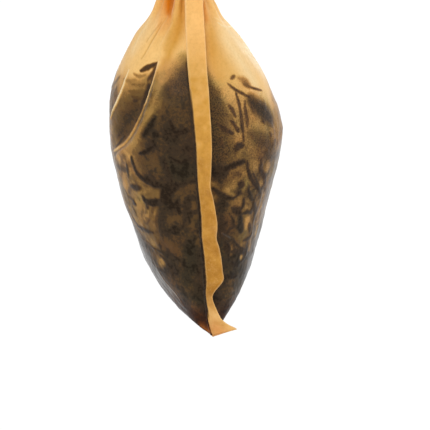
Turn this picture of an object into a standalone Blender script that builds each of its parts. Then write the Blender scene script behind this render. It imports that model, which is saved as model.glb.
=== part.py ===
"""A drawstring tea filter bag, wet and filled, hanging from its drawn-up neck.

Metres, +Z up. The origin is the string's knot, where the bag is held. A photographer in front of the bag
looks along +Y, at one of its two side seals; the bottom fold runs along Y.
"""

import math

import bmesh
import bpy
import numpy as np

MM = 0.001

# The flat bag, as sold: 80 x 100 mm with sealed sides and a hem.
BAG_WIDTH = 80.0
SEAL = 4.3
PANEL = BAG_WIDTH - 2 * SEAL
PAPER = 0.3
CLEAR = 0.3

# The drawn-up neck and its string.
KNOT_TO_STRING = 16.0
STRING = 0.8
RING_RADIUS = 3.1
CHANNEL = STRING + 2 * CLEAR
NECK_HOLE = 1.6
EXIT_RADIUS = 4.6
NECK_Y = -(EXIT_RADIUS + STRING)
VALLEY = 4.0
SLOT_WIDTH = 4.2
SLOT_HEIGHT = 1.5
STRAND_GAP = 0.4
KNOT_WIDE = 2.6
KNOT_DEEP = 2.2
KNOT_TALL = 2.8
TAIL = 7.0
LEAVE = math.radians(32.0)
PLEATS = 12

# The hanging body.
DEPTH = 85.2
BODY_X = 3.3
SEAM_ANGLE = math.radians(-97.0)
COLUMNS = 36

# Down the bag, as shares of DEPTH below the string. The three reaches from the section's middle and the
# pleats' depth are shares of PANEL, and the middle moves from the neck's place to BODY_X. The point is how
# pointed the section is: 0.5 an ellipse, 1 a lens.
PROFILE = [
    #  depth    left   right depth/2  midX   midY  point  pleat
    (-0.0704, 0.1162, 0.1148, 0.1148, 0.000, 1.000, 0.50, 0.0105),
    (-0.0540, 0.1120, 0.1106, 0.1106, 0.000, 1.000, 0.50, 0.0112),
    (-0.0352, 0.0966, 0.0952, 0.0952, 0.000, 1.000, 0.50, 0.0098),
    (-0.0176, 0.0840, 0.0826, 0.0826, 0.000, 1.000, 0.50, 0.0077),
    (0.0000, 0.0784, 0.0770, 0.0770, 0.000, 1.000, 0.50, 0.0070),
    (0.0235, 0.0798, 0.0784, 0.0784, 0.000, 1.000, 0.50, 0.0070),
    (0.0528, 0.0868, 0.0840, 0.0854, 0.030, 0.981, 0.50, 0.0077),
    (0.0822, 0.0980, 0.0924, 0.0952, 0.061, 0.944, 0.50, 0.0084),
    (0.1174, 0.1134, 0.1092, 0.1092, 0.091, 0.889, 0.50, 0.0077),
    (0.1526, 0.1345, 0.1303, 0.1303, 0.121, 0.815, 0.50, 0.0070),
    (0.1995, 0.1779, 0.1723, 0.1709, 0.212, 0.685, 0.50, 0.0053),
    (0.2465, 0.2101, 0.2059, 0.2101, 0.333, 0.556, 0.50, 0.0036),
    (0.2934, 0.2423, 0.2325, 0.2479, 0.485, 0.407, 0.50, 0.0024),
    (0.3404, 0.2689, 0.2577, 0.2773, 0.606, 0.278, 0.50, 0.0014),
    (0.3991, 0.2927, 0.2801, 0.3011, 0.758, 0.130, 0.50, 0.0007),
    (0.4577, 0.3053, 0.2997, 0.3151, 0.909, 0.037, 0.50, 0.0003),
    (0.5164, 0.3109, 0.3095, 0.3221, 1.000, 0.000, 0.50, 0.0000),
    (0.5869, 0.3039, 0.2997, 0.3305, 1.000, 0.000, 0.51, 0.0000),
    (0.6573, 0.2885, 0.2801, 0.3431, 1.000, 0.000, 0.52, 0.0000),
    (0.7277, 0.2717, 0.2577, 0.3571, 1.000, 0.000, 0.53, 0.0000),
    (0.7981, 0.2437, 0.2381, 0.3754, 1.000, 0.000, 0.55, 0.0000),
    (0.8568, 0.2241, 0.2171, 0.3922, 1.000, 0.000, 0.56, 0.0000),
    (0.9038, 0.2087, 0.2003, 0.4062, 1.000, 0.000, 0.58, 0.0000),
    (0.9390, 0.1877, 0.1793, 0.4202, 1.000, 0.000, 0.60, 0.0000),
    (0.9660, 0.1695, 0.1541, 0.4370, 1.000, 0.000, 0.60, 0.0000),
    (0.9847, 0.1443, 0.1204, 0.4566, 1.000, 0.000, 0.60, 0.0000),
    (0.9965, 0.1064, 0.0756, 0.4790, 1.000, 0.000, 0.60, 0.0000),
    (1.0000, 0.0700, 0.0504, 0.4888, 1.000, 0.000, 0.60, 0.0000),
]

# The neck's inner side: depth, and how far the wall stands back from NECK_HOLE and its pleats' depth, as
# shares of PANEL. Below it the paper is one layer.
THROAT = [
    (-0.0646, 0.0742, 0.0105),
    (-0.0493, 0.0462, 0.0077),
    (-0.0282, 0.0112, 0.0035),
    (0.0000, 0.0000, 0.0017),
    (0.0282, 0.0014, 0.0017),
    (0.0540, 0.0140, 0.0035),
    (0.0798, 0.0420, 0.0063),
]
SINGLE_LAYER = 0.117

# The pleats turn round the bag a little between these depths.
PLEATS_TURN = (0.094, 0.211)

# The big fold at the upper left laps over a hollow: depth, angle of the fold's edge, angle of the hollow's
# far edge, and how deep the hollow is as a share of PANEL.
FOLD = [
    (0.1878, -126.0, -139.0, 0.0000),
    (0.2582, -126.5, -146.0, 0.0070),
    (0.3052, -128.5, -157.0, 0.0224),
    (0.3521, -131.0, -160.0, 0.0322),
    (0.3991, -134.5, -166.0, 0.0350),
    (0.4460, -140.0, -171.0, 0.0308),
    (0.4930, -147.0, -174.0, 0.0210),
    (0.5399, -160.0, -177.0, 0.0084),
    (0.5869, -172.0, -180.0, 0.0000),
]

# The side seals: depth, width as a share of SEAL, and how far they stand off the bag in degrees.
SEAL_LIES = [
    (0.0399, 0.279, 20.0),
    (0.0704, 0.930, 12.0),
    (0.1408, 1.000, 6.0),
    (0.3521, 1.000, 4.0),
    (0.6103, 1.000, 5.0),
    (0.6808, 1.047, 9.0),
    (0.7746, 1.000, 4.0),
    (0.8333, 1.000, 8.0),
    (0.8568, 1.000, 14.0),
]
# Below that they turn edge-on, and flare out as the sheet's corner: depth, and the free edge from the seam
# on the near side as shares of SEAL. The far one is the same, turned half round.
SEAL_FLARES = [
    (0.9038, 0.279, -0.837, 0.419),
    (0.9390, 0.442, -0.767, 0.372),
    (0.9660, 0.721, -0.605, 0.279),
    (0.9847, 1.116, -0.372, 0.279),
    (0.9965, 1.395, -0.140, 0.372),
    (1.0000, 1.442, 0.000, 0.372),
]
SEAL_THICK = 1.2 * PAPER
SEAL_STAND = 0.35
FLARE_STAND = 0.47

# Towards the bottom the inner surfaces keep out of the tips and off the fold, between these depths.
TIPS = (0.704, 0.939)
LIFT = (0.9155, 0.9742)
CORNER_FILL = 1.2

# The wet tea's upper edge round the bag: angle and depth. Its top is level with the paper's rows from
# TEA_SETTLED down, and heaps up in the middle: share of the way out, and the rise as a share of DEPTH.
TEA_LEVEL = [
    (-180.0, 0.2876),
    (-150.0, 0.2700),
    (-120.0, 0.2547),
    (-97.0, 0.2406),
    (-70.0, 0.2700),
    (-45.0, 0.2993),
    (-20.0, 0.3345),
    (0.0, 0.3404),
    (60.0, 0.3052),
    (120.0, 0.2817),
    (180.0, 0.2876),
]
TEA_SETTLED = 0.516
TEA_TOP = [(0.72, 0.0188), (0.40, 0.0305)]
TEA_MIDDLE = 0.2817

ROWS = DEPTH * np.array(PROFILE)[:, 0]


def curve(table, column, across=1.0, along=1.0):
    """A smooth curve through one column of a table, over its first column, each times its own scale."""
    x, y = np.array([[row[0] * along, row[column] * across] for row in table], float).T
    step = np.diff(x)
    slope = np.diff(y) / step
    tangent = np.zeros(len(x))
    tangent[0], tangent[-1] = slope[0], slope[-1]
    same = slope[:-1] * slope[1:] > 0
    w1, w2 = 2 * step[1:] + step[:-1], step[1:] + 2 * step[:-1]
    near, far = np.where(same, slope[:-1], 1), np.where(same, slope[1:], 1)
    tangent[1:-1] = np.where(same, (w1 + w2) / (w1 / near + w2 / far), 0)

    def value(at):
        at = np.clip(np.asarray(at, float), x[0], x[-1])
        i = np.clip(np.searchsorted(x, at) - 1, 0, len(x) - 2)
        t = (at - x[i]) / step[i]
        return (
            (1 + 2 * t) * (1 - t) ** 2 * y[i]
            + t * (1 - t) ** 2 * step[i] * tangent[i]
            + t * t * (3 - 2 * t) * y[i + 1]
            + t * t * (t - 1) * step[i] * tangent[i + 1]
        )

    return value


scales = (PANEL, PANEL, PANEL, BODY_X, NECK_Y, 1.0, PANEL)
left, right, reach, mid_x, mid_y, point, pleat = [
    curve(PROFILE, 1 + i, scale, DEPTH) for i, scale in enumerate(scales)
]
fold_edge, fold_end = curve(FOLD, 1, 1, DEPTH), curve(FOLD, 2, 1, DEPTH)
fold_depth = curve(FOLD, 3, PANEL, DEPTH)
seal_width, seal_off = curve(SEAL_LIES, 1, SEAL, DEPTH), curve(SEAL_LIES, 2, 1, DEPTH)
seal_flare = [curve(SEAL_FLARES, k, SEAL, DEPTH) for k in (1, 2, 3)]
tea_level = curve(TEA_LEVEL, 1, DEPTH)


def between(depth, ends):
    """0 above the first of two depths and 1 below the second, both shares of DEPTH."""
    return np.clip((depth / DEPTH - ends[0]) / (ends[1] - ends[0]), 0, 1)


def pleat_wave(angle, depth):
    """0 on the pleats' ridges and -2 in their valleys; the pleats turn a little below the neck."""
    turn = np.radians(-112.0 - 14.0 * between(depth, PLEATS_TURN))
    return np.cos(PLEATS * (angle - turn)) - 1


def hollow(angle, depth):
    """How deep the hollow behind the big fold is at a place."""
    turned = np.mod(np.degrees(angle) + 360.0, 360.0) - 360.0
    edge, end = fold_edge(depth), fold_end(depth)
    t = (turned - end) / (edge - end)
    rise = np.clip(t / 0.72, 0, 1)
    drop = np.clip((1.12 - t) / 0.30, 0, 1)
    smooth = rise * rise * (3 - 2 * rise) * drop * drop * (3 - 2 * drop)
    lip = np.exp(-(((t - 1.12) / 0.16) ** 2)) * 0.22
    inside = (depth > FOLD[0][0] * DEPTH) & (depth < FOLD[-1][0] * DEPTH)
    return np.where(inside, fold_depth(depth) * (smooth - lip), 0)


def exit_valley(angle, depth):
    """How far the hem is pressed in where the strands run up beside it."""
    off = np.abs(np.mod(np.degrees(angle) - 90.0 + 180.0, 360.0) - 180.0)
    across = np.clip((30.0 - off) / 14.0, 0, 1)
    along = np.clip((VALLEY - depth) / (0.6 * VALLEY), 0, 1)
    return across * across * (3 - 2 * across) * along


def section(angle, depth, folds=True, inset=0.0):
    """A place on the bag by its angle round it and its depth: the paper's outer side, or inset from it."""
    angle, depth = np.broadcast_arrays(np.asarray(angle, float), np.asarray(depth, float))
    c, s = np.cos(angle), np.sin(angle)
    corner = CORNER_FILL * between(depth, TIPS) * (inset > 0) * (0.5 + 0.5 * inset / PAPER)
    wide = np.where(c < 0, left(depth), right(depth)) - inset
    x = wide * np.sign(c) * np.abs(c) ** (2 * point(depth))
    y = (reach(depth) - inset - corner) * s
    size = np.hypot(x, y)
    inward = np.zeros_like(size)
    if folds:
        inward = -pleat(depth) * pleat_wave(angle, depth) + hollow(angle, depth)
        pressed = size + inset - EXIT_RADIUS
        valley = exit_valley(angle, depth)
        inward = inward * (1 - valley) + pressed * valley
    scale = (size - inward) / size
    z = -KNOT_TO_STRING - depth + inset * between(depth, LIFT)
    return np.stack([mid_x(depth) + x * scale, mid_y(depth) + y * scale, z], -1)


def outward(angle, depth, folds=True):
    """The direction away from the paper at a place."""
    da, dd = 0.02, 0.25
    low, high = np.minimum(depth + dd, DEPTH), np.maximum(depth - dd, ROWS[0])
    round_it = section(angle + da, depth, folds) - section(angle - da, depth, folds)
    down = section(angle, low, folds) - section(angle, high, folds)
    normal = np.cross(down, round_it)
    return normal / np.linalg.norm(normal, axis=-1, keepdims=True)


def panel_angles(side, depth):
    """Angles across one panel: side 0 from the near seam round the right to the far one, 1 back again."""
    tight = 0.5 * SEAL_THICK / np.hypot(reach(depth), 0.4 * right(depth))
    u = np.linspace(0, 1, COLUMNS + 1)
    return SEAM_ANGLE + side * math.pi + tight + u * (math.pi - 2 * tight)


def ring(depth):
    """The angles of both panels' points at a depth."""
    return np.concatenate([panel_angles(0, depth), panel_angles(1, depth)])


def seal_points(side, depth):
    """A side seal at a depth, from the seam out along its outer face and back along its inner one."""
    start = SEAM_ANGLE + side * math.pi
    seam = section(start, depth, folds=False)
    half = 0.5 * SEAL_THICK
    outer, inner = (0.02, 0.35, 0.68, 1.0), (1.0, 0.68, 0.38, 0.13)
    if depth / DEPTH > SEAL_LIES[-1][0] + 0.001:
        turn = 1 - 2 * side
        edge = np.array([axis(depth) for axis in seal_flare]) * (turn, turn, 1)
        out = np.array([0.0, -turn, 0.0])
        line = seam + out * (FLARE_STAND + half)
        face = np.cross(edge, (0, 0, -1))
        face *= half / np.linalg.norm(face) * (1 if face @ out > 0 else -1)
        return [line + edge * s + face for s in outer] + [line + edge * s - face for s in inner]
    width, off = seal_width(depth), math.radians(seal_off(depth))
    sweep = start + np.linspace(0, 1.6, 161)
    line = section(sweep, depth, folds=False)
    along = np.concatenate([[0], np.cumsum(np.linalg.norm(np.diff(line, axis=0), axis=1))])
    found = []
    for shares, stand in ((outer, SEAL_STAND + SEAL_THICK), (inner, SEAL_STAND)):
        for share in shares:
            flat = share * width * math.cos(off)
            on = np.array([np.interp(flat, along, line[:, k]) for k in range(3)])
            away = outward(np.interp(flat, along, sweep), np.array(depth), folds=False)
            found.append(on + away * (share * width * math.sin(off) + stand))
    return found


def new_material(name, color, rough):
    material = bpy.data.materials.new(name)
    material.use_nodes = True
    shader = material.node_tree.nodes["Principled BSDF"]
    shader.inputs["Base Color"].default_value = (*color, 1.0)
    shader.inputs["Roughness"].default_value = rough
    return material


def new_object(name, points, faces, material):
    mesh = bpy.data.meshes.new(name)
    mesh.from_pydata([tuple(p * MM) for p in points], [], faces)
    mesh.materials.append(material)
    work = bmesh.new()
    work.from_mesh(mesh)
    bmesh.ops.triangulate(work, faces=work.faces, quad_method="SHORT_EDGE")
    bmesh.ops.recalc_face_normals(work, faces=work.faces)
    work.to_mesh(mesh)
    work.free()
    obj = bpy.data.objects.new(name, mesh)
    bpy.context.scene.collection.objects.link(obj)
    return obj


def filter_paper(material):
    points, faces = [], []

    def add(items):
        first = len(points)
        points.extend(np.asarray(item, float) for item in items)
        return list(range(first, len(points)))

    def quads(upper, lower, skip=()):
        for k in range(len(upper)):
            if k not in skip:
                j = (k + 1) % len(upper)
                faces.append((upper[k], upper[j], lower[j], lower[k]))

    wide = COLUMNS + 1
    seams = (wide - 1, 2 * wide - 1)
    outer, inner, near, far = [], [], {}, {}
    for depth in ROWS:
        angles = ring(depth)
        around = section(angles, depth)
        outer.append(add(around))
        if depth >= SEAL_LIES[0][0] * DEPTH:
            near[len(outer) - 1] = add(seal_points(0, depth))
            far[len(outer) - 1] = add(seal_points(1, depth))
        if depth >= SINGLE_LAYER * DEPTH:
            inner.append(add(section(angles, depth, inset=PAPER)))
    throat = []
    for share, back, fold in THROAT:
        depth = share * DEPTH
        angles = ring(depth)
        r = NECK_HOLE + PANEL * (back + fold * (1 + pleat_wave(angles, depth)))
        r += exit_valley(angles, depth) * (np.minimum(r, EXIT_RADIUS - 2 * PAPER) - r)
        x, y = mid_x(depth) + r * np.cos(angles), mid_y(depth) + r * np.sin(angles)
        throat.append(add(np.stack([x, y, np.full(len(r), -KNOT_TO_STRING - depth)], -1)))
    inner = throat + inner

    for k in range(len(outer) - 1):
        quads(outer[k], outer[k + 1], skip=seams if k in near else ())
    for k in range(len(inner) - 1):
        quads(inner[k + 1], inner[k])
    quads(inner[0], outer[0])
    for strip, seam in ((near, seams[1]), (far, seams[0])):
        rows = sorted(strip)
        loops = [[outer[k][seam], *strip[k], outer[k][(seam + 1) % (2 * wide)]] for k in rows]
        for a, b in zip(loops, loops[1:]):
            for k in range(len(a) - 1):
                faces.append((a[k], a[k + 1], b[k + 1], b[k]))
        faces.append(tuple(loops[0]))
        faces.append(tuple(reversed(loops[-1])))
    for bottom in (outer[-1], inner[-1]):
        rights, lefts = bottom[:wide], bottom[wide:][::-1]
        for k in range(wide - 1):
            faces.append((rights[k], rights[k + 1], lefts[k + 1], lefts[k]))
    return new_object("filter_paper", points, faces, material)


def tea_leaves(material):
    points, faces, rows = [], [], []
    wide = COLUMNS + 1
    angles = np.concatenate([panel_angles(side, TEA_SETTLED * DEPTH)[:-1] for side in (0, 1)])
    turned = np.mod(np.degrees(angles) + 180.0, 360.0) - 180.0
    rim = tea_level(turned)
    stand = PAPER + CLEAR
    middle = np.array([mid_x(TEA_MIDDLE * DEPTH), mid_y(TEA_MIDDLE * DEPTH), 0.0])
    top = rim.min()
    settled = TEA_SETTLED * DEPTH
    for row in [top, *ROWS[ROWS > top + 0.02 * DEPTH]]:
        depth = row + (rim - top) * np.clip((settled - row) / (settled - top), 0, 1)
        behind = np.clip(3 * np.abs(hollow(angles, depth)), 0, 1)
        rows.append(section(angles, depth, inset=stand + CLEAR * behind))
    for share, rise in TEA_TOP:
        top = rows[0] * share + middle * (1 - share)
        top[:, 2] = rows[0][:, 2] * share + rows[0][:, 2].mean() * (1 - share) + rise * DEPTH
        rows.insert(0, top)
    for row in rows:
        points.extend(row)
    n = 2 * COLUMNS
    for k in range(len(rows) - 1):
        for j in range(n):
            i = (j + 1) % n
            faces.append((k * n + j, k * n + i, (k + 1) * n + i, (k + 1) * n + j))
    faces.append(tuple(range(n)))
    last = (len(rows) - 1) * n
    for k in range(COLUMNS):
        a, b = last + k, last + k + 1
        c, d = last + (n - k - 1) % n, last + (n - k) % n
        faces.append((a, b, c, d) if d != a and b != c else ((a, b, c) if d == a else (a, b, d)))
    return new_object("tea_leaves", points, faces, material)


def strand(side):
    """One end of the string, from the ring inside the hem out through the slot and up to its free end."""
    x, y, r = side * 0.5 * (STRING + STRAND_GAP), -NECK_Y, RING_RADIUS
    route = [
        (side * r * math.sin(LEAVE), r * math.cos(LEAVE), 0.0),
        (side * 0.37 * r, 1.08 * r, 0.0),
        (x * 1.05, 0.935 * EXIT_RADIUS, 0.12 * STRING),
        (x, y - 0.44 * STRING, 0.62 * STRING),
        (x, y, 1.6 * STRING),
        (x, y, 3.2 * STRING),
        (x, y, 0.5 * KNOT_TO_STRING),
        (x, y, KNOT_TO_STRING),
        (x * 1.4, y - 0.12 * STRING, KNOT_TO_STRING + 0.28 * TAIL),
        (x * 2.6, y - (0.5 + 0.75 * side) * STRING, KNOT_TO_STRING + 0.6 * TAIL),
        (x * 3.2, y - (1.0 + 1.5 * side) * STRING, KNOT_TO_STRING + TAIL),
    ]
    return smooth(np.array(route), 26)


def smooth(route, count):
    """Points evenly spaced along a smooth curve through a route's points."""
    along = np.concatenate([[0], np.cumsum(np.linalg.norm(np.diff(route, axis=0), axis=1))])
    fine = np.linspace(0, along[-1], 400)
    table = np.column_stack([along, route])
    line = np.column_stack([curve(table, k)(fine) for k in (1, 2, 3)])
    length = np.concatenate([[0], np.cumsum(np.linalg.norm(np.diff(line, axis=0), axis=1))])
    at = np.linspace(0, length[-1], count)
    return np.column_stack([np.interp(at, length, line[:, k]) for k in range(3)])


def add_modifier(obj, other, operation):
    modifier = obj.modifiers.new(other.name, "BOOLEAN")
    modifier.operation = operation
    modifier.solver = "EXACT"
    modifier.object = other


def helper(obj, name):
    obj.name = name
    obj.hide_render = True
    obj.display_type = "WIRE"
    return obj


def string_channel():
    """The round way inside the hem that the string runs in, and the slot where its two ends come out."""
    place = (0.0, NECK_Y * MM, -KNOT_TO_STRING * MM)
    bpy.ops.mesh.primitive_torus_add(
        major_radius=RING_RADIUS * MM,
        minor_radius=0.5 * CHANNEL * MM,
        major_segments=48,
        minor_segments=10,
        location=place,
    )
    channel = helper(bpy.context.object, "string_channel")
    start, end = RING_RADIUS - 0.5 * STRING, 1.75 * EXIT_RADIUS
    bpy.ops.mesh.primitive_cube_add(size=1, location=(0.0, place[1] + 0.5 * (start + end) * MM, place[2]))
    slot = helper(bpy.context.object, "string_slot")
    slot.scale = (SLOT_WIDTH * MM, (end - start) * MM, SLOT_HEIGHT * MM)
    return channel, slot


def drawstring(material):
    """The string: down from the knot, once round inside the hem, and up again beside itself."""
    right_end, left_end = strand(1), strand(-1)
    turn = 0.5 * math.pi - LEAVE - np.linspace(0, 2 * math.pi - 2 * LEAVE, 28)[1:-1]
    ring_line = RING_RADIUS * np.column_stack([np.cos(turn), np.sin(turn), np.zeros(len(turn))])
    line = np.vstack([right_end[::-1], ring_line, left_end]) + (0.0, NECK_Y, -KNOT_TO_STRING)
    data = bpy.data.curves.new("drawstring", "CURVE")
    data.dimensions = "3D"
    data.bevel_depth = 0.5 * STRING * MM
    data.bevel_resolution = 2
    data.use_fill_caps = True
    spline = data.splines.new("POLY")
    spline.points.add(len(line) - 1)
    for at, place in zip(spline.points, line * MM):
        at.co = (*place, 1.0)
    tube = bpy.data.objects.new("drawstring", data)
    bpy.context.scene.collection.objects.link(tube)
    bpy.context.view_layer.objects.active = tube
    tube.select_set(True)
    bpy.ops.object.convert(target="MESH")
    tube = bpy.context.object
    tube.name = "drawstring"
    tube.data.materials.clear()
    tube.data.materials.append(material)
    bpy.ops.mesh.primitive_uv_sphere_add(segments=12, ring_count=8, radius=0.5 * MM)
    knot = helper(bpy.context.object, "knot_form")
    knot.scale = (KNOT_WIDE, KNOT_DEEP, KNOT_TALL)
    add_modifier(tube, knot, "UNION")
    return tube


for old in list(bpy.data.objects):
    bpy.data.objects.remove(old)

paper = new_material("wet_filter_paper", (0.80, 0.55, 0.27), 0.55)
tea = new_material("wet_tea", (0.06, 0.045, 0.03), 0.6)
cotton = new_material("cotton", (0.85, 0.80, 0.70), 0.85)

bag = filter_paper(paper)
leaves = tea_leaves(tea)
for hole in string_channel():
    add_modifier(bag, hole, "DIFFERENCE")
string = drawstring(cotton)
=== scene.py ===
"""The looks of a wet, filled drawstring tea filter bag, in the frame of its CAD model.

Lengths are millimetres until a mesh is made. Places on the bag are given as in part.py: an angle round it and
a depth below the string.
"""

import math

import bpy
import numpy as np
from mathutils import Matrix, Vector


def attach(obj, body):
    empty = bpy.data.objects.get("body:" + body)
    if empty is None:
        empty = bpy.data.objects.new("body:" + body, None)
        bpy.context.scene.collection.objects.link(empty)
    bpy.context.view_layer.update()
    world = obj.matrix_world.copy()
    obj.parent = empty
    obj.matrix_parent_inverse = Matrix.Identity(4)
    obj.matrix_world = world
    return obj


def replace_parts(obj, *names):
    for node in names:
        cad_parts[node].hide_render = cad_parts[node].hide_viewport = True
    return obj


MM = 0.001

# The flat bag, as sold: 80 x 100 mm with sealed sides and a hem.
BAG_WIDTH = 80.0
SEAL = 4.3
PANEL = BAG_WIDTH - 2 * SEAL
PAPER = 0.3

# The drawn-up neck and its string.
KNOT_TO_STRING = 16.0
STRING = 0.8
RING_RADIUS = 3.1
EXIT_RADIUS = 4.6
NECK_Y = -(EXIT_RADIUS + STRING)
VALLEY = 4.0
STRAND_GAP = 0.4
TAIL = 7.0
LEAVE = math.radians(32.0)
PLEATS = 12

# The hanging body.
DEPTH = 85.2
BODY_X = 3.3
SEAM_ANGLE = math.radians(-97.0)

# Down the bag, as shares of DEPTH below the string. The three reaches from the section's middle and the
# pleats' depth are shares of PANEL, and the middle moves from the neck's place to BODY_X. The point is how
# pointed the section is: 0.5 an ellipse, 1 a lens. The reaches left and right were first fitted to an outline
# picked by eye, and a separate program turned this table's millimetres into shares.
PROFILE = [
    #  depth    left   right depth/2  midX   midY  point  pleat
    (-0.0704, 0.1162, 0.1148, 0.1148, 0.000, 1.000, 0.50, 0.0105),
    (-0.0540, 0.1120, 0.1106, 0.1106, 0.000, 1.000, 0.50, 0.0112),
    (-0.0352, 0.0966, 0.0952, 0.0952, 0.000, 1.000, 0.50, 0.0098),
    (-0.0176, 0.0840, 0.0826, 0.0826, 0.000, 1.000, 0.50, 0.0077),
    (0.0000, 0.0784, 0.0770, 0.0770, 0.000, 1.000, 0.50, 0.0070),
    (0.0235, 0.0798, 0.0784, 0.0784, 0.000, 1.000, 0.50, 0.0070),
    (0.0528, 0.0868, 0.0840, 0.0854, 0.030, 0.981, 0.50, 0.0077),
    (0.0822, 0.0980, 0.0924, 0.0952, 0.061, 0.944, 0.50, 0.0084),
    (0.1174, 0.1134, 0.1092, 0.1092, 0.091, 0.889, 0.50, 0.0077),
    (0.1526, 0.1345, 0.1303, 0.1303, 0.121, 0.815, 0.50, 0.0070),
    (0.1995, 0.1779, 0.1723, 0.1709, 0.212, 0.685, 0.50, 0.0053),
    (0.2465, 0.2101, 0.2059, 0.2101, 0.333, 0.556, 0.50, 0.0036),
    (0.2934, 0.2423, 0.2325, 0.2479, 0.485, 0.407, 0.50, 0.0024),
    (0.3404, 0.2689, 0.2577, 0.2773, 0.606, 0.278, 0.50, 0.0014),
    (0.3991, 0.2927, 0.2801, 0.3011, 0.758, 0.130, 0.50, 0.0007),
    (0.4577, 0.3053, 0.2997, 0.3151, 0.909, 0.037, 0.50, 0.0003),
    (0.5164, 0.3109, 0.3095, 0.3221, 1.000, 0.000, 0.50, 0.0000),
    (0.5869, 0.3039, 0.2997, 0.3305, 1.000, 0.000, 0.51, 0.0000),
    (0.6573, 0.2885, 0.2801, 0.3431, 1.000, 0.000, 0.52, 0.0000),
    (0.7277, 0.2717, 0.2577, 0.3571, 1.000, 0.000, 0.53, 0.0000),
    (0.7981, 0.2437, 0.2381, 0.3754, 1.000, 0.000, 0.55, 0.0000),
    (0.8568, 0.2241, 0.2171, 0.3922, 1.000, 0.000, 0.56, 0.0000),
    (0.9038, 0.2087, 0.2003, 0.4062, 1.000, 0.000, 0.58, 0.0000),
    (0.9390, 0.1877, 0.1793, 0.4202, 1.000, 0.000, 0.60, 0.0000),
    (0.9660, 0.1695, 0.1541, 0.4370, 1.000, 0.000, 0.60, 0.0000),
    (0.9847, 0.1443, 0.1204, 0.4566, 1.000, 0.000, 0.60, 0.0000),
    (0.9965, 0.1064, 0.0756, 0.4790, 1.000, 0.000, 0.60, 0.0000),
    (1.0000, 0.0700, 0.0504, 0.4888, 1.000, 0.000, 0.60, 0.0000),
]

# The pleats turn round the bag a little between these depths.
PLEATS_TURN = (0.094, 0.211)

# The big fold at the upper left laps over a hollow: depth, angle of the fold's edge, angle of the hollow's
# far edge, and how deep the hollow is as a share of PANEL.
FOLD = [
    (0.1878, -126.0, -139.0, 0.0000),
    (0.2582, -126.5, -146.0, 0.0070),
    (0.3052, -128.5, -157.0, 0.0224),
    (0.3521, -131.0, -160.0, 0.0322),
    (0.3991, -134.5, -166.0, 0.0350),
    (0.4460, -140.0, -171.0, 0.0308),
    (0.4930, -147.0, -174.0, 0.0210),
    (0.5399, -160.0, -177.0, 0.0084),
    (0.5869, -172.0, -180.0, 0.0000),
]

# The looks of the neck's paper, over millimetres of depth: how much of the CAD's pleats is left, how deep the
# narrow pleats are, the deep valley in front, and the hem's frill.
PLEATS_LEFT = [(5, 1.0), (10, 0.5), (15, 0.15)]
NARROW_PLEATS = [(-6, 0.9), (-3, 0.6), (0, 0.45), (6, 0.35), (10, 0.05), (18, 0), (26, 0)]
FRONT_VALLEY = [(-2, 0), (3, 1), (12, 0.8), (17, 0)]
FRILL = [(-6, 1.0), (-1.5, 0)]

# The side seals: depth, width as a share of SEAL, and how far they stand off the bag in degrees. They ripple
# more here than in part.py.
SEAL_LIES = [
    (0.0399, 0.700, 6.0),
    (0.0587, 0.900, 5.0),
    (0.0939, 0.940, 4.0),
    (0.1408, 1.000, 4.0),
    (0.2230, 1.060, 4.0),
    (0.3521, 1.040, 6.0),
    (0.4695, 1.000, 14.0),
    (0.5400, 0.980, 30.0),
    (0.5750, 0.960, 38.0),
    (0.6100, 0.980, 26.0),
    (0.6550, 1.000, 16.0),
    (0.6950, 0.980, 24.0),
    (0.7280, 0.960, 38.0),
    (0.7600, 0.980, 30.0),
    (0.8000, 0.990, 20.0),
    (0.8333, 1.000, 14.0),
    (0.8568, 1.010, 12.0),
]
# Below that they turn edge-on, and flare out as the sheet's corner: depth, and the free edge from the seam
# on the near side as shares of SEAL. The far one is the same, turned half round.
SEAL_FLARES = [
    (0.9038, 0.279, -0.837, 0.419),
    (0.9390, 0.442, -0.767, 0.372),
    (0.9660, 0.721, -0.605, 0.279),
    (0.9847, 1.116, -0.372, 0.279),
    (0.9965, 1.395, -0.140, 0.372),
    (1.0000, 1.442, 0.000, 0.372),
]
# What is left of the seals' width by millimetres of depth, trimmed to follow the photograph.
SEAL_TRIM = [(10, 1), (24, 0.95), (36, 0.92), (44, 0.86), (54, 0.88), (60, 1)]
SEAL_THICK = 1.2 * PAPER
SEAL_STAND = 0.35
FLARE_STAND = 0.47

# Towards the bottom the inner surfaces keep out of the tips and off the fold, between these depths.
TIPS = (0.704, 0.939)
LIFT = (0.9155, 0.9742)
CORNER_FILL = 1.2

# The wet tea's upper edge round the bag: angle, and depth as a share of DEPTH.
TEA_LEVEL = [
    (-180.0, 0.2876),
    (-150.0, 0.2700),
    (-120.0, 0.2547),
    (-97.0, 0.2406),
    (-70.0, 0.2700),
    (-45.0, 0.2993),
    (-20.0, 0.3345),
    (0.0, 0.3404),
    (60.0, 0.3052),
    (120.0, 0.2817),
    (180.0, 0.2876),
]

ROWS = DEPTH * np.array(PROFILE)[:, 0]

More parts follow.
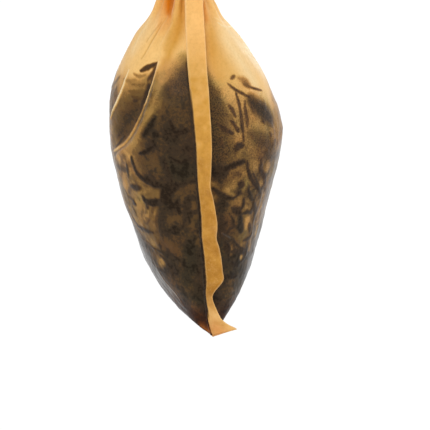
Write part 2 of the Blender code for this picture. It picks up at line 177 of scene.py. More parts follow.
# What shows through the paper, from plain paper to a leaf pressed against it, and plain paper by its layers
# and by the painted shade in the neck's folds.
TEA_TONES = [
    (0.30, (0.66, 0.355, 0.098)),
    (0.50, (0.41, 0.220, 0.060)),
    (0.65, (0.205, 0.108, 0.030)),
    (0.80, (0.118, 0.060, 0.020)),
    (0.92, (0.050, 0.030, 0.015)),
    (1.00, (0.021, 0.011, 0.004)),
]
LAYER_AND_SHADE_TONES = [
    (0.0, (0.96, 0.61, 0.225)),
    (0.45, (0.68, 0.350, 0.062)),
    (0.7, (0.51, 0.235, 0.034)),
    (1.0, (0.36, 0.150, 0.018)),
]
# Painted shade: deep orange in the neck's folds and beside the seal at the top; also the tip's own orange.
ORANGE_AND_SHADE_COLOUR = (0.66, 0.185, 0.002)
# Painted highlight: the light colour on creases and seal edges, and where light glows through the shoulders.
PAINTED_HIGHLIGHT = (0.98, 0.80, 0.48)
RED = (1.04, 0.90, 0.90)
GREEN = (0.82, 0.98, 0.98)
RUST = (0.75, 0.50, 0.35)
# Painted sheen: the grey of a painted reflection on the wet paper.
PAINTED_SHEEN = (0.64, 0.62, 0.59)
TEA_BITS = [(0.35, (0.018, 0.012, 0.008)), (0.55, (0.05, 0.034, 0.018)), (0.7, (0.07, 0.06, 0.03))]
COTTON = [(0.3, (0.46, 0.36, 0.22)), (0.65, (0.64, 0.55, 0.40))]

# Scattered leaves, broad and thin: the broad ones' share, and for each kind the range of its length, half
# width, how much darker it is than the tea round it, and its soft edge.
LEAF_COUNT = 2600
STRAY_COUNT = 46
BROAD_SHARE = 0.42
BROAD_LEAF = [(1.8, 5.5), (0.5, 1.3), (-0.15, 0.06), (0.35, 0.9)]
THIN_LEAF = [(1.2, 3.6), (0.28, 0.6), (0.08, 0.30), (0.25, 0.55)]

# The photograph's camera: what it looks at, its own axes, how far off it is, millimetres to a pixel there,
# the picture's width in pixels and the sensor's in millimetres.
VIEW_TARGET = (8.060, -0.618, -84.3)
VIEW_RIGHT = (0.99167, -0.12880, 0.0)
VIEW_BACK = (-0.11673, -0.89876, 0.42262)
VIEW_DISTANCE = 400.0
VIEW_SCALE = 0.2635
VIEW_PIXELS = 430
VIEW_SENSOR = 36.0

# The light from all round, and soft studio lamps: place in metres, width and power, and where they all point.
SKY = (0.97, 0.98, 1.0, 1.0)
SKY_POWER = 0.88
LAMP_AIM = (0, 0, -0.06)
LAMPS = [
    ("key", (-0.35, -0.55, 0.35), 0.5, 2.2),
    ("fill", (0.55, -0.35, 0.10), 0.5, 1.2),
    ("back", (0.30, 0.65, 0.15), 0.6, 4.0),
]

# The studio floor: its colour, half its width, and how far it lies below the knot.
FLOOR = (0.86, 0.86, 0.86, 1)
FLOOR_REACH = 3000.0
FLOOR_DROP = 150.0

# The paper's grid on each side, and how much closer its columns are on the half that faces the camera. Then
# the grids of a seal and of the tea, the sides of a ply, and the millimetres from one ring of it to the next.
PANEL_ROWS = 352
PANEL_COLUMNS = 262
PANEL_CLOSER = 1.3
SEAL_ROWS = 330
SEAL_COLUMNS = 22
TEA_ROWS = 120
TEA_COLUMNS = 160
PLY_SIDES = 9
STRING_STEP = 0.16

# The string's plies: how far off its middle each runs, its own half width, and the length of one twist. The
# knot's coil: its radius, height, turns and points.
PLY_OFF = 0.19
PLY_HALF = 0.205
TWIST = 2.1
COIL_RADIUS = 0.80
COIL_TALL = 2.1
COIL_TURNS = 2.3
COIL_POINTS = 40

# What each place on the paper carries: how dark the tea shows, layers of paper with painted fold shade,
# painted highlights; specks, painted grey sheen, orange with painted shade; the tea's hue, dryness and
# wetness.
SHOWN, LAYERS_AND_FOLD_SHADE, HIGHLIGHTED, SPECKLED, PAINTED_SHINE, ORANGE_AND_SHADE, HUED, DRY, WET = range(9)
LOOK_SIZE = 9

# Most places in the lists below were picked by eye in the picture, and a separate program turned them into an
# angle in degrees and a depth in millimetres.

# Creases that stand up: places (angle, depth), half width, height, the tea left to see on them, and how
# bright the painted highlight along them is.
RIDGES = [
    ([(-125.2, 20.1), (-128.2, 24.0), (-132.0, 28.0), (-137.2, 32.1), (-142.5, 36.1), (-149.0, 40.3)],
     0.36, 0.34, 0.05, 0.55),
    ([(-140.0, 34.4), (-149.0, 40.3), (-154.0, 42.8), (-161.0, 44.9), (-171.5, 47.5)], 0.50, 0.22, 0.10, 0.3),
    ([(-158.2, 24.1), (-158.8, 27.9), (-162.0, 32.2), (-165.8, 34.6), (-170.0, 36.9), (-173.0, 38.9)],
     0.42, 0.40, 0.0, 0.9),
    ([(-126.0, 6.6), (-124.2, 8.4), (-124.2, 9.9)], 0.30, 0.20, 0.0, 0.8),
    ([(-35.8, 12.6), (-30.2, 13.7), (0.8, 15.6)], 0.28, 0.14, 0.0, 0.9),
    ([(-37.2, 11.3), (-28.5, 12.3), (-7.3, 14.0)], 0.20, 0.08, 0.0, 0.4),
    ([(-145.8, 72.3), (-139.3, 76.6), (-130.3, 79.1), (-124.2, 81.6)], 0.22, 0.12, 0.8, 0.25),
    ([(-142.5, 79.5), (-138.0, 80.8), (-131.2, 81.7)], 0.20, 0.10, 0.8, 0.2),
    ([(-131.5, 10.5), (-136.8, 13.3), (-139.3, 16.1), (-142.2, 18.5), (-145.5, 20.5)], 0.16, 0.18, 0.0, 0.3),
    ([(-137.0, 11.8), (-143.8, 14.2), (-146.8, 16.6)], 0.15, 0.14, 0.0, 0.2),
    ([(-117.3, 11.3), (-124.5, 13.9), (-127.7, 16.7)], 0.15, 0.10, 0.0, 0.2),
    ([(-145.2, 11.9), (-146.0, 16.1)], 0.25, 0.12, 0.0, 0.3),
    ([(-172.8, 12.6), (-168.0, 16.1), (-165.8, 19.7)], 0.40, 0.15, 0.0, 0.45),
]
# Where the paper stands off the tea, or the tea lies thick against it, and painted shadows along the big
# fold's edge, the near seam and beside the near seal: places, half width, soft edge, tone, weight.
TEA_BANDS_AND_SHADOWS = [
    # Painted shade along the big fold's edge.
    ([(-127.7, 21.2), (-131.0, 24.4), (-136.2, 29.0), (-141.0, 33.2), (-146.0, 37.0), (-153.0, 40.8)],
     0.15, 0.55, 0.85, 0.8),
    ([(-118.3, 20.0), (-120.5, 22.9), (-124.2, 28.7), (-129.0, 33.6), (-134.0, 36.5), (-139.8, 39.5),
      (-149.0, 42.7)], 0.8, 2.2, 0.44, 0.95),
    ([(-139.5, 40.3), (-146.8, 42.8), (-158.0, 45.7)], 0.9, 1.5, 0.34, 0.85),
    # Painted shadow along the near seam.
    ([(-97.6, 20.0), (-97.6, 50.0), (-97.6, 78.5)], 0.2, 0.5, 0.94, 0.9),
    # Painted shadow beside the near seal's free edge.
    ([(-84.5, 34.0), (-84.0, 40.6), (-83.2, 44.4), (-80.8, 49.6), (-80.2, 54.7), (-78.0, 59.9)],
     0.7, 1.8, 0.93, 0.9),
    ([(-6.5, 35.9), (-14.5, 40.3), (-25.8, 45.3)], 0.6, 1.2, 0.42, 0.6),
    ([(-88.5, 23.0), (-86.5, 29.0), (-85.0, 36.0), (-84.0, 43.0)], 1.8, 3.6, 0.80, 0.9),
    ([(-144.5, 32.6), (-151.0, 35.6), (-155.8, 38.2), (-160.5, 41.1)], 2.4, 3.0, 0.90, 0.95),
    ([(-48.5, 30.6), (-42.5, 33.0), (-36.5, 35.8), (-32.5, 37.6)], 2.3, 1.5, 0.88, 0.95),
    ([(-57.2, 38.4), (-48.5, 41.1), (-38.2, 43.7)], 1.9, 1.6, 0.80, 0.85),
    ([(-46.5, 44.5), (-38.5, 46.9)], 0.9, 0.9, 0.86, 0.85),
    ([(-123.0, 32.9), (-126.8, 35.5), (-131.8, 38.4)], 0.8, 0.7, 1.0, 0.95),
    ([(-120.8, 82.2), (-114.5, 83.1), (-104.8, 83.9), (-95.0, 84.4)], 0.6, 2.0, 0.87, 0.95),
    ([(-110.0, 84.2), (-103.0, 84.6), (-97.0, 84.9)], 0.5, 1.2, 0.38, 0.95),
    # Painted shadow beside the near seal, lower down.
    ([(-80.5, 57.0), (-79.5, 62.0), (-78.0, 67.0), (-79.0, 76.0)], 1.4, 2.2, 0.93, 0.85),
]
# Where there are two layers of paper, with painted shade beside the neck's small creases; where light comes
# through several, painted as a deeper orange shade in the neck's folds and beside the seal, and the tip's own
# orange; and where more comes through, as painted highlights: places, half width, soft edge, value, weight.
DOUBLES_AND_CREASE_SHADE = [
    ([(-104.2, 5.0), (-107.2, 11.9), (-110.5, 15.2), (-115.0, 17.8), (-118.0, 21.0)], 1.3, 1.6, 0.50, 0.95),
    ([(-114.2, 10.8), (-117.0, 14.2), (-119.8, 17.0)], 0.8, 1.4, 0.42, 0.9),
    # Painted shade beside the neck's small creases.
    ([(-132.5, 10.7), (-138.0, 13.3), (-140.5, 16.1), (-143.4, 18.5), (-146.7, 20.5)], 0.12, 0.4, 0.6, 0.9),
    ([(-138.2, 11.8), (-145.0, 14.2), (-148.0, 16.6)], 0.12, 0.4, 0.5, 0.9),
    ([(-119.3, 20.0), (-121.5, 22.9), (-125.2, 28.7), (-134.0, 36.5), (-149.0, 42.7)], 1.2, 1.5, 0.5, 0.8),
    ([(-57.7, 13.0), (-66.0, 16.6), (-70.5, 20.1), (-71.5, 26.0)], 2.6, 3.2, 0.40, 0.95),
    ([(-60.0, 20.0), (-60.0, 27.0)], 3.0, 3.5, 0.30, 0.8),
]
ORANGES_AND_SHADES = [
    ([(-200.0, 10.5), (-165.0, 8.8), (-145.5, 8.4)], 1.0, 2.0, 0.20, 0.9),
    ([(-104.2, 3.0), (-107.2, 11.9), (-110.5, 15.2)], 1.0, 1.6, 0.16, 0.9),
    ([(-148.0, -2.0), (-144.0, 8.0), (-138.0, 13.0)], 1.6, 2.2, 0.50, 0.9),
    ([(-64.0, 9.0), (-73.0, 16.0), (-77.0, 24.0)], 2.4, 3.4, 0.16, 0.9),
    ([(-54.8, -2.0), (-56.8, 8.4), (-59.5, 11.0)], 0.9, 1.6, 0.80, 0.95),
    ([(-136.0, -4.0), (-136.0, 4.0), (-134.5, 7.0), (-132.5, 9.4)], 1.2, 1.1, 1.0, 1.0),
    ([(-121.8, 82.8), (-114.8, 83.9), (-103.2, 84.6)], 1.2, 1.8, 1.0, 1.0),
]
PAINTED_HIGHLIGHTS = [
    ([(-42.5, 16.5), (-40.8, 20.1), (-37.0, 24.5), (-35.2, 29.2)], 1.5, 3.5, 0.65, 1.0),
    ([(-25.0, 14.0), (-18.0, 20.0), (-8.0, 27.0)], 2.0, 4.0, 0.85, 1.0),
    ([(-172.8, 12.6), (-168.0, 16.1), (-165.8, 19.7)], 1.2, 2.5, 0.55, 1.0),
    ([(-150.0, 11.0), (-152.0, 14.0), (-160.0, 18.5)], 0.8, 2.0, 0.25, 1.0),
]
# Painted grey sheen low on both sides: a painted reflection on the wet paper, where it stands off the tea.
PAINTED_SHEENS = [
    ([(-160.0, 73.6), (-148.0, 75.6), (-139.5, 78.0), (-134.0, 79.3)], 0.9, 0.9, 0.14, 1.0),
    ([(-165.5, 73.0), (-155.8, 74.6), (-147.5, 76.5), (-141.5, 78.6), (-135.0, 80.5), (-127.0, 81.8),
      (-122.2, 82.4)], 0.12, 0.4, 0.30, 1.0),
    ([(-162.0, 71.0), (-151.5, 73.7), (-144.0, 75.8), (-137.2, 77.6), (-132.0, 78.8), (-129.5, 79.6)],
     0.09, 0.26, 0.55, 1.0),
    ([(-135.5, 77.8), (-130.3, 79.1), (-127.2, 80.6)], 0.08, 0.28, 0.4, 1.0),
    ([(-42.2, 54.7), (-42.8, 58.0), (-45.0, 61.1)], 0.1, 0.4, 0.4, 1.0),
    ([(-46.8, 60.6), (-46.2, 65.5), (-46.5, 69.6)], 0.1, 0.4, 0.4, 1.0),
    ([(-78.5, 61.9), (-71.0, 63.6)], 0.1, 0.3, 0.2, 1.0),
]
# Where it is wettest.
WETS = [
    ([(-176.0, 44.0), (-178.0, 54.0), (-178.0, 64.0), (-172.0, 72.0), (-150.0, 77.0), (-125.0, 82.0)],
     2.5, 5.0, 1.0, 1.0),
    ([(-25.0, 46.0), (-30.0, 54.0), (-34.0, 64.0), (-38.0, 76.0)], 2.5, 5.0, 0.8, 1.0),
]
# How dark the tea behind the paper is in places, and how much its leaves stand out there: angle, depth, reach
# in each, tone and contrast.
GROUNDS = [
    (-50, 56, 46, 12, 0.68, 0.8),
    (-150, 56, 24, 12, 0.61, 0.7),
    (-45, 33, 36, 10, 0.44, 0.15),
    (-82, 36, 11, 14, 0.74, 0.12),
    (-153, 32, 22, 11, 0.60, 0.35),
    (-104, 36, 14, 17, 0.91, 0.3),
    (-103, 25, 13, 11, 0.83, 0.25),
    (-118, 45, 17, 11, 0.92, 0.35),
    (-113, 61, 19, 14, 0.90, 0.6),
]

# Leaves and stalks seen through the paper in front: places, width, tone, softness and hue, 1 reddish and -1
# greenish.
STROKES = [
    ([(-143.8, 23.2), (-137.0, 22.0), (-127.5, 20.6)], 1.1, 0.92, 0.2, 0.4),
    ([(-126.8, 21.0), (-131.8, 23.4), (-136.8, 25.2)], 0.9, 0.88, 0.3, 0.4),
    ([(-134.8, 26.3), (-136.5, 29.3), (-139.5, 32.1), (-140.8, 33.8)], 1.5, 0.95, 0.35, 0.4),
    ([(-148.0, 31.3), (-145.5, 30.7)], 1, 0.90, 0.25, 0.4),
    ([(-156.2, 41.4), (-161.5, 43.7), (-169.0, 46.6)], 0.5, 0.95, 0.2, 0.4),
    ([(-150.2, 41.0), (-155.0, 43.1), (-162.0, 45.4)], 0.4, 0.85, 0.2, 0.4),
    ([(-160.5, 41.1), (-165.0, 43.0)], 0.6, 0.80, 0.3, 0.4),
    ([(-172.2, 33.6), (-170.2, 36.6)], 0.8, 0.85, 0.4, 0.4),
    ([(-112.5, 33.4), (-110.5, 35.0), (-108.2, 36.7)], 0.9, 0.98, 0.3, 0.4),
    ([(-108.8, 36.5), (-104.8, 35.7), (-100.8, 35.3)], 1.2, 0.98, 0.3, 0.4),
    ([(-136.2, 43.3), (-130.5, 42.3), (-125.2, 40.5)], 0.94, 1.00, 0.25, 0.2),
    ([(-130.5, 41.1), (-125.7, 39.4)], 0.7, 0.93, 0.25, 0.4),
    ([(-117.3, 44.2), (-115.5, 46.5), (-114.0, 48.7)], 0.82, 1.00, 0.35, 0.2),
    ([(-112.2, 42.7), (-107.3, 43.6), (-100.8, 42.4)], 0.71, 1.00, 0.35, 0.2),
    ([(-157.3, 69.0), (-145.5, 68.3), (-140.0, 69.2)], 0.51, 0.86, 0.3, 0.2),
    ([(-145.2, 69.0), (-136.5, 68.7), (-131.0, 69.0)], 0.61, 0.96, 0.3, 0.2),
    ([(-149.2, 74.1), (-143.8, 74.7), (-135.8, 74.4)], 0.61, 0.99, 0.3, 0.2),
    ([(-135.5, 69.9), (-131.2, 70.6), (-128.0, 72.3)], 0.71, 0.96, 0.35, 0.2),
    ([(-143.0, 45.2), (-141.8, 47.2), (-139.0, 49.0), (-133.5, 50.0), (-127.2, 50.4), (-121.5, 50.3)],
     1.15, 0.98, 0.3, 0.2),
    ([(-133.5, 49.8), (-129.5, 50.0), (-126.0, 50.4), (-122.5, 50.4)], 1.4, 0.98, 0.4, 0.4),
    ([(-129.2, 47.5), (-127.5, 48.9), (-125.7, 50.0)], 0.94, 0.92, 0.35, 0.2),
    ([(-121.2, 54.0), (-119.0, 52.3), (-115.2, 50.7), (-111.0, 49.8)], 2.6, 1.00, 0.4, 0.1),
    ([(-113.8, 50.2), (-108.2, 49.5), (-101.5, 48.6), (-95.0, 47.9)], 0.94, 0.96, 0.5, 0.1),
    ([(-138.0, 54.8), (-136.5, 55.8), (-132.5, 55.7), (-126.5, 54.9), (-120.0, 53.9)], 1.6, 0.99, 0.3, 0.1),
    ([(-149.0, 53.4), (-143.5, 53.1), (-138.5, 52.6)], 1.4, 0.93, 0.35, 0.2),
    ([(-157.0, 57.4), (-150.5, 57.4), (-147.5, 58.1)], 0.82, 0.88, 0.25, 0.0),
    ([(-150.2, 57.8), (-148.3, 58.2)], 1.2, 0.94, 0.3, 0.1),
    ([(-153.8, 59.6), (-151.0, 60.5), (-149.8, 61.7)], 0.51, 0.84, 0.25, -0.2),
    ([(-166.3, 50.7), (-157.0, 50.0), (-150.2, 49.4)], 1.2, 0.85, 0.45, -0.2),
    ([(-149.2, 47.6), (-149.2, 49.5), (-149.8, 51.1)], 0.82, 0.93, 0.3, -0.4),
    ([(-143.2, 45.0), (-143.0, 46.8)], 0.96, 0.95, 0.3, -0.3),
    ([(-157.8, 63.3), (-155.2, 64.2), (-152.2, 64.8)], 1.1, 0.94, 0.3, 0.4),
    ([(-154.2, 65.1), (-146.8, 64.6), (-141.2, 64.4), (-135.8, 64.0)], 1.05, 0.96, 0.35, 0.2),
    ([(-128.5, 62.8), (-121.5, 62.1), (-115.0, 61.4), (-108.8, 60.1)], 1, 0.97, 0.35, 0.0),
    ([(-123.5, 54.9), (-123.2, 57.5), (-126.3, 60.7), (-127.2, 63.4)], 2.2, 0.92, 0.9, -0.1),
    ([(-135.5, 56.2), (-135.5, 57.5)], 0.94, 0.91, 0.3, 0.0),
    ([(-127.2, 57.7), (-130.0, 60.0), (-130.5, 62.1)], 0.41, 0.84, 0.25, 0.4),
    ([(-105.2, 52.9), (-106.2, 54.5), (-104.5, 55.9), (-101.2, 56.4), (-97.5, 55.6)], 0.94, 0.95, 0.5, 0.0),
    ([(-104.5, 52.9), (-101.0, 52.4), (-97.0, 52.5)], 0.51, 0.95, 0.5, 0.0),
    ([(-117.8, 43.5), (-116.7, 46.2), (-115.5, 49.3)], 1.2, 0.93, 0.9, 0.1),
    ([(-106.0, 56.3), (-106.8, 58.3), (-109.5, 60.2)], 1, 0.94, 0.9, 0.1),
    ([(-59.8, 24.4), (-54.5, 24.0)], 0.86, 0.69, 0.25, 0.7),
    ([(-51.5, 24.9), (-47.0, 25.7), (-42.8, 27.1)], 1.3, 0.53, 0.8, 0.7),
    ([(-45.2, 27.3), (-39.2, 28.4), (-30.2, 29.9)], 0.57, 0.82, 0.25, 0.7),
    ([(-48.8, 26.4), (-44.0, 27.6)], 0.8, 0.67, 0.4, 0.7),
    ([(-64.2, 25.3), (-58.5, 27.2), (-53.8, 28.3), (-47.8, 29.8)], 0.69, 0.79, 0.25, 0.7),
    ([(-59.8, 27.8), (-60.0, 30.4), (-61.5, 33.8), (-63.0, 36.7), (-63.8, 39.5)], 0.82, 0.84, 0.2, 0.7),
    ([(-54.0, 30.2), (-56.2, 32.2), (-56.8, 34.2), (-58.5, 36.2)], 0.86, 0.79, 0.25, 0.7),
    ([(-68.8, 30.1), (-67.2, 31.3), (-65.8, 33.1)], 0.8, 0.80, 0.2, 0.9),
    ([(-70.0, 33.9), (-67.8, 35.3), (-66.2, 36.9)], 0.9, 0.84, 0.2, 0.9),
    ([(-80.5, 33.9), (-78.8, 34.7), (-75.0, 35.9), (-70.8, 37.1)], 0.92, 0.90, 0.25, 0.9),
    ([(-43.2, 36.3), (-42.2, 37.0)], 0.69, 0.77, 0.25, 0.7),
    ([(-38.5, 40.3), (-38.0, 41.3)], 0.8, 0.72, 0.25, 0.7),
    ([(-57.2, 38.9), (-55.8, 39.4)], 0.69, 0.69, 0.25, 0.7),
    ([(-79.8, 37.5), (-80.0, 38.7), (-79.2, 40.0)], 0.86, 0.87, 0.25, 0.7),
    ([(-70.5, 41.2), (-68.2, 40.3), (-65.0, 40.6)], 1.4, 0.92, 0.35, 0.7),
    ([(-49.0, 30.9), (-49.5, 32.4), (-49.5, 33.6)], 0.57, 0.67, 0.3, 0.7),
    ([(-68.0, 64.4), (-60.8, 66.9), (-51.2, 68.9)], 0.61, 0.98, 0.3, 0.2),
    ([(-74.2, 64.6), (-71.0, 66.6), (-71.2, 68.6)], 0.82, 1.00, 0.3, 0.2),
    ([(-56.8, 71.4), (-51.0, 70.7), (-49.8, 69.1)], 0.61, 0.99, 0.3, 0.2),
    ([(-67.8, 69.9), (-58.8, 71.9)], 0.71, 1.00, 0.3, 0.2),
    ([(-76.5, 72.2), (-68.5, 73.6), (-58.2, 74.5)], 0.82, 1.00, 0.3, 0.2),
    ([(-82.0, 78.8), (-73.8, 79.1), (-62.8, 79.1), (-50.5, 79.9)], 0.36, 0.86, 0.25, 0.2),
    ([(-74.2, 80.9), (-64.2, 81.5), (-50.8, 82.4)], 0.31, 0.88, 0.25, 0.2),
    ([(-86.5, 46.1), (-83.2, 46.0), (-79.2, 45.9)], 3, 1.00, 0.8, 0.3),
    ([(-80.5, 45.8), (-75.2, 45.3), (-69.5, 44.8), (-65.0, 44.6)], 1.4, 0.99, 0.4, 0.4),
    ([(-62.8, 45.1), (-61.3, 47.5), (-57.0, 50.3), (-50.8, 53.0), (-44.5, 55.2)], 0.95, 0.95, 0.3, 0.7),
    ([(-50.5, 45.8), (-50.0, 48.0), (-45.2, 50.6), (-41.2, 53.3)], 1.2, 0.90, 0.35, 0.8),
    ([(-56.8, 48.5), (-51.8, 51.4), (-47.0, 54.3)], 0.82, 0.93, 0.3, 0.2),
    ([(-67.8, 50.0), (-64.2, 50.8)], 1.3, 0.92, 0.3, 0.9),
    ([(-68.8, 52.2), (-66.0, 52.7)], 1.2, 0.94, 0.3, 0.4),
    ([(-86.2, 50.2), (-82.0, 51.6), (-76.8, 52.9), (-71.5, 53.5), (-67.8, 53.0)], 0.98, 0.98, 0.3, 0.1),
    ([(-59.8, 52.0), (-57.7, 54.0), (-54.0, 55.7)], 0.94, 0.94, 0.3, 0.2),
    ([(-62.2, 54.3), (-62.2, 55.8), (-64.5, 57.1)], 0.82, 0.95, 0.3, 0.3),
    ([(-70.8, 56.1), (-67.0, 57.2), (-63.8, 58.5)], 1.7, 0.95, 0.45, 0.5),
    ([(-63.0, 58.3), (-58.5, 58.3), (-52.5, 59.2)], 0.94, 0.93, 0.3, -0.2),
    ([(-63.8, 59.0), (-62.8, 60.9), (-60.8, 62.9)], 1.7, 0.97, 0.45, -0.5),
    ([(-52.8, 62.1), (-50.0, 64.2)], 1.2, 0.92, 0.35, 0.5),
    ([(-46.8, 65.0), (-49.8, 66.0), (-57.0, 65.8)], 0.82, 0.93, 0.3, 0.1),
    ([(-74.2, 64.6), (-72.8, 67.0)], 1.4, 0.97, 0.5, 0.4),
    ([(-68.8, 67.3), (-59.0, 68.1), (-48.8, 70.3)], 1.2, 0.95, 0.4, 0.2),
    ([(-51.2, 56.8), (-47.2, 60.0), (-47.8, 62.2)], 1.1, 0.90, 0.4, 0.1),
    ([(-73.0, 63.0), (-67.8, 65.1), (-64.8, 67.2)], 1, 0.92, 0.5, 0.2),
    ([(-50.3, 54.9), (-52.0, 57.0), (-52.5, 59.2)], 0.61, 0.91, 0.3, 0.2),
    ([(-150.5, 24.4), (-144.8, 24.6), (-139.0, 24.0)], 0.7, 0.54, 0.3, 0.1),
    ([(-151.5, 27.0), (-145.8, 26.9), (-139.8, 26.4)], 0.8, 0.60, 0.3, 0.1),
    ([(-153.0, 28.9), (-146.8, 28.8), (-141.0, 28.7)], 0.7, 0.66, 0.3, 0.1),
    ([(-148.8, 30.2), (-144.0, 30.5), (-139.8, 29.7)], 0.8, 0.74, 0.3, 0.0),
    ([(-161.8, 26.7), (-153.0, 26.4), (-148.0, 25.8)], 0.6, 0.54, 0.3, 0.1),
    ([(171.8, 32.0), (184.0, 29.2), (189.2, 27.2)], 0.9, 0.66, 0.4, -0.3),
    ([(181.5, 34.2), (187.0, 31.8), (190.8, 29.9)], 0.9, 0.70, 0.4, -0.3),
]

# Broad leaves and clumps there: place, reach across and down, lean in degrees, tone, weight and hue.
PATCHES = [
    ((-128.0, 45.5), 3.6, 3.4, 15, 0.78, 0.85, -0.2),
    ((-139.0, 50.8), 1.7, 1.7, 20, 0.61, 0.85, -0.1),
    ((-130.3, 53.0), 5.0, 2.6, 5, 0.59, 0.9, -0.1),
    ((-147.5, 55.4), 1.5, 1.6, 10, 0.55, 0.8, -0.1),
    ((-144.2, 60.6), 2.0, 4.2, 6, 0.56, 0.9, 0.1),
    ((-132.0, 59.2), 1.5, 4.2, 4, 0.61, 0.85, 0.2),
    ((-155.8, 52.9), 1.5, 3.6, 8, 0.48, 0.9, 0.2),
    ((-107.0, 46.3), 4.0, 3.4, 0, 0.95, 0.9, -0.9),
    ((-107.5, 51.5), 4.8, 1.9, -8, 0.86, 0.9, -0.2),
    ((-112.5, 58.8), 4.4, 2.6, -10, 0.83, 0.9, -0.2),
    ((-141.8, 67.1), 3.2, 2.2, 15, 0.55, 0.9, -0.2),
    ((-136.2, 71.8), 2.2, 2.2, -20, 0.44, 0.9, -0.1),
    ((-107.0, 68.2), 2.4, 5.0, 0, 0.95, 0.9, -1.0),
    ((-130.5, 77.3), 3.6, 4.6, -15, 0.85, 0.9, 0.3),
    ((-123.8, 66.9), 4.0, 2.0, 12, 0.82, 0.9, 0.5),
    ((-114.2, 73.7), 2.0, 2.6, 0, 0.92, 0.9, -0.9),
    ((-112.8, 55.5), 3.0, 2.4, 0, 0.92, 0.8, 0.1),
    ((-119.5, 63.6), 4.0, 1.6, 0, 0.84, 0.8, 0.1),
    ((-70.5, 47.7), 3.6, 2.6, -20, 0.59, 0.9, 0.4),
    ((-79.5, 50.0), 4.6, 1.7, 12, 0.59, 0.9, 0.0),
    ((-67.8, 55.0), 2.0, 1.7, 0, 0.57, 0.9, 0.4),
    ((-57.5, 56.6), 1.5, 2.2, 0, 0.57, 0.9, 0.0),
    ((-55.2, 61.7), 1.2, 2.4, 5, 0.39, 0.95, 0.4),
    ((-56.5, 46.7), 1.7, 2.2, 0, 0.53, 0.9, 0.0),
    ((-41.5, 48.3), 1.8, 2.0, 0, 0.48, 0.9, 0.2),
    ((-74.8, 59.8), 3.0, 3.6, 0, 0.84, 0.9, 0.6),
    ((-58.0, 64.2), 2.4, 1.5, -10, 0.61, 0.9, -0.8),
    ((-67.2, 66.0), 2.4, 2.2, 0, 0.74, 0.85, 0.1),
    ((-47.0, 67.7), 1.0, 2.6, 5, 0.59, 0.85, 0.0),
    ((-55.8, 50.9), 1.0, 2.6, 15, 0.57, 0.85, 0.0),
    ((-79.5, 54.8), 2.4, 2.6, 0, 0.93, 0.9, -0.2),
    ((-48.8, 51.2), 0.8, 2.2, 0, 0.55, 0.8, 0.0),
    ((-77.8, 51.0), 1.6, 0.9, 10, 0.45, 0.8, 0.0),
    ((-40.5, 57.6), 0.8, 2.4, 10, 0.53, 0.7, 0.0),
    ((-41.8, 61.3), 0.8, 2.4, 10, 0.57, 0.7, 0.0),
    ((-56.8, 69.9), 0.9, 0.9, 0, 0.38, 0.85, 0.0),
    ((-70.0, 67.0), 1.4, 1.6, 0, 0.55, 0.7, 0.0),
    ((-56.8, 66.4), 1.5, 1.0, -10, 0.51, 0.7, 0.0),
    ((-39.8, 66.0), 0.8, 2.2, 12, 0.38, 0.7, 0.0),
    ((-62.2, 77.5), 1.6, 1.2, 0, 0.82, 0.6, 0.0),
    ((-160.8, 47.4), 1.8, 1.2, 10, 0.29, 0.8, 0.0),
    ((-146.8, 44.9), 2.2, 1.0, 25, 0.35, 0.8, 0.0),
    ((-163.0, 28.7), 1.6, 2.4, 0, 0.31, 0.7, 0.0),
]


def cubic(t, step, start, start_slope, end, end_slope):
    """A smooth way from one value to the next, t of the way along, that keeps the slope at each."""
    return (
        (1 + 2 * t) * (1 - t) ** 2 * start
        + t * (1 - t) ** 2 * step * start_slope
        + t * t * (3 - 2 * t) * end
        + t * t * (t - 1) * step * end_slope
    )


def curve(table, column, across=1.0, along=1.0):
    """A smooth curve through one column of a table, over its first column, each times its own scale."""
    x, y = np.array([[row[0] * along, row[column] * across] for row in table], float).T
    step = np.diff(x)
    slope = np.diff(y) / step
    tangent = np.zeros(len(x))
    tangent[0], tangent[-1] = slope[0], slope[-1]
    same = slope[:-1] * slope[1:] > 0
    w1, w2 = 2 * step[1:] + step[:-1], step[1:] + 2 * step[:-1]
    near, far = np.where(same, slope[:-1], 1), np.where(same, slope[1:], 1)
    tangent[1:-1] = np.where(same, (w1 + w2) / (w1 / near + w2 / far), 0)

    def value(at):
        at = np.clip(np.asarray(at, float), x[0], x[-1])
        i = np.clip(np.searchsorted(x, at) - 1, 0, len(x) - 2)
        t = (at - x[i]) / step[i]
        return cubic(t, step[i], y[i], tangent[i], y[i + 1], tangent[i + 1])

    return value


scales = (PANEL, PANEL, PANEL, BODY_X, NECK_Y, 1.0, PANEL)
left, right, reach, mid_x, mid_y, point, pleat = [
    curve(PROFILE, 1 + i, scale, DEPTH) for i, scale in enumerate(scales)
]
fold_edge, fold_end = curve(FOLD, 1, 1, DEPTH), curve(FOLD, 2, 1, DEPTH)
fold_depth = curve(FOLD, 3, PANEL, DEPTH)
seal_width, seal_off = curve(SEAL_LIES, 1, SEAL, DEPTH), curve(SEAL_LIES, 2, 1, DEPTH)
seal_flare = [curve(SEAL_FLARES, k, SEAL, DEPTH) for k in (1, 2, 3)]
tea_level = curve(TEA_LEVEL, 1, DEPTH)


def straight(table, at):
    """A value from a table of (depth, value), straight from each row to the next."""
    return np.interp(at, *zip(*table))


def in_degrees(angle):
    """An angle round the bag in degrees, from -180 to 180."""
    return np.mod(np.degrees(angle) + 180, 360) - 180


def between(depth, ends):
    """0 above the first of two depths and 1 below the second, both shares of DEPTH."""
    return np.clip((depth / DEPTH - ends[0]) / (ends[1] - ends[0]), 0, 1)


def pleat_wave(angle, depth):
    """0 on the pleats' ridges and -2 in their valleys; the pleats turn a little below the neck."""
    turn = np.radians(-112.0 - 14.0 * between(depth, PLEATS_TURN))
    return np.cos(PLEATS * (angle - turn)) - 1


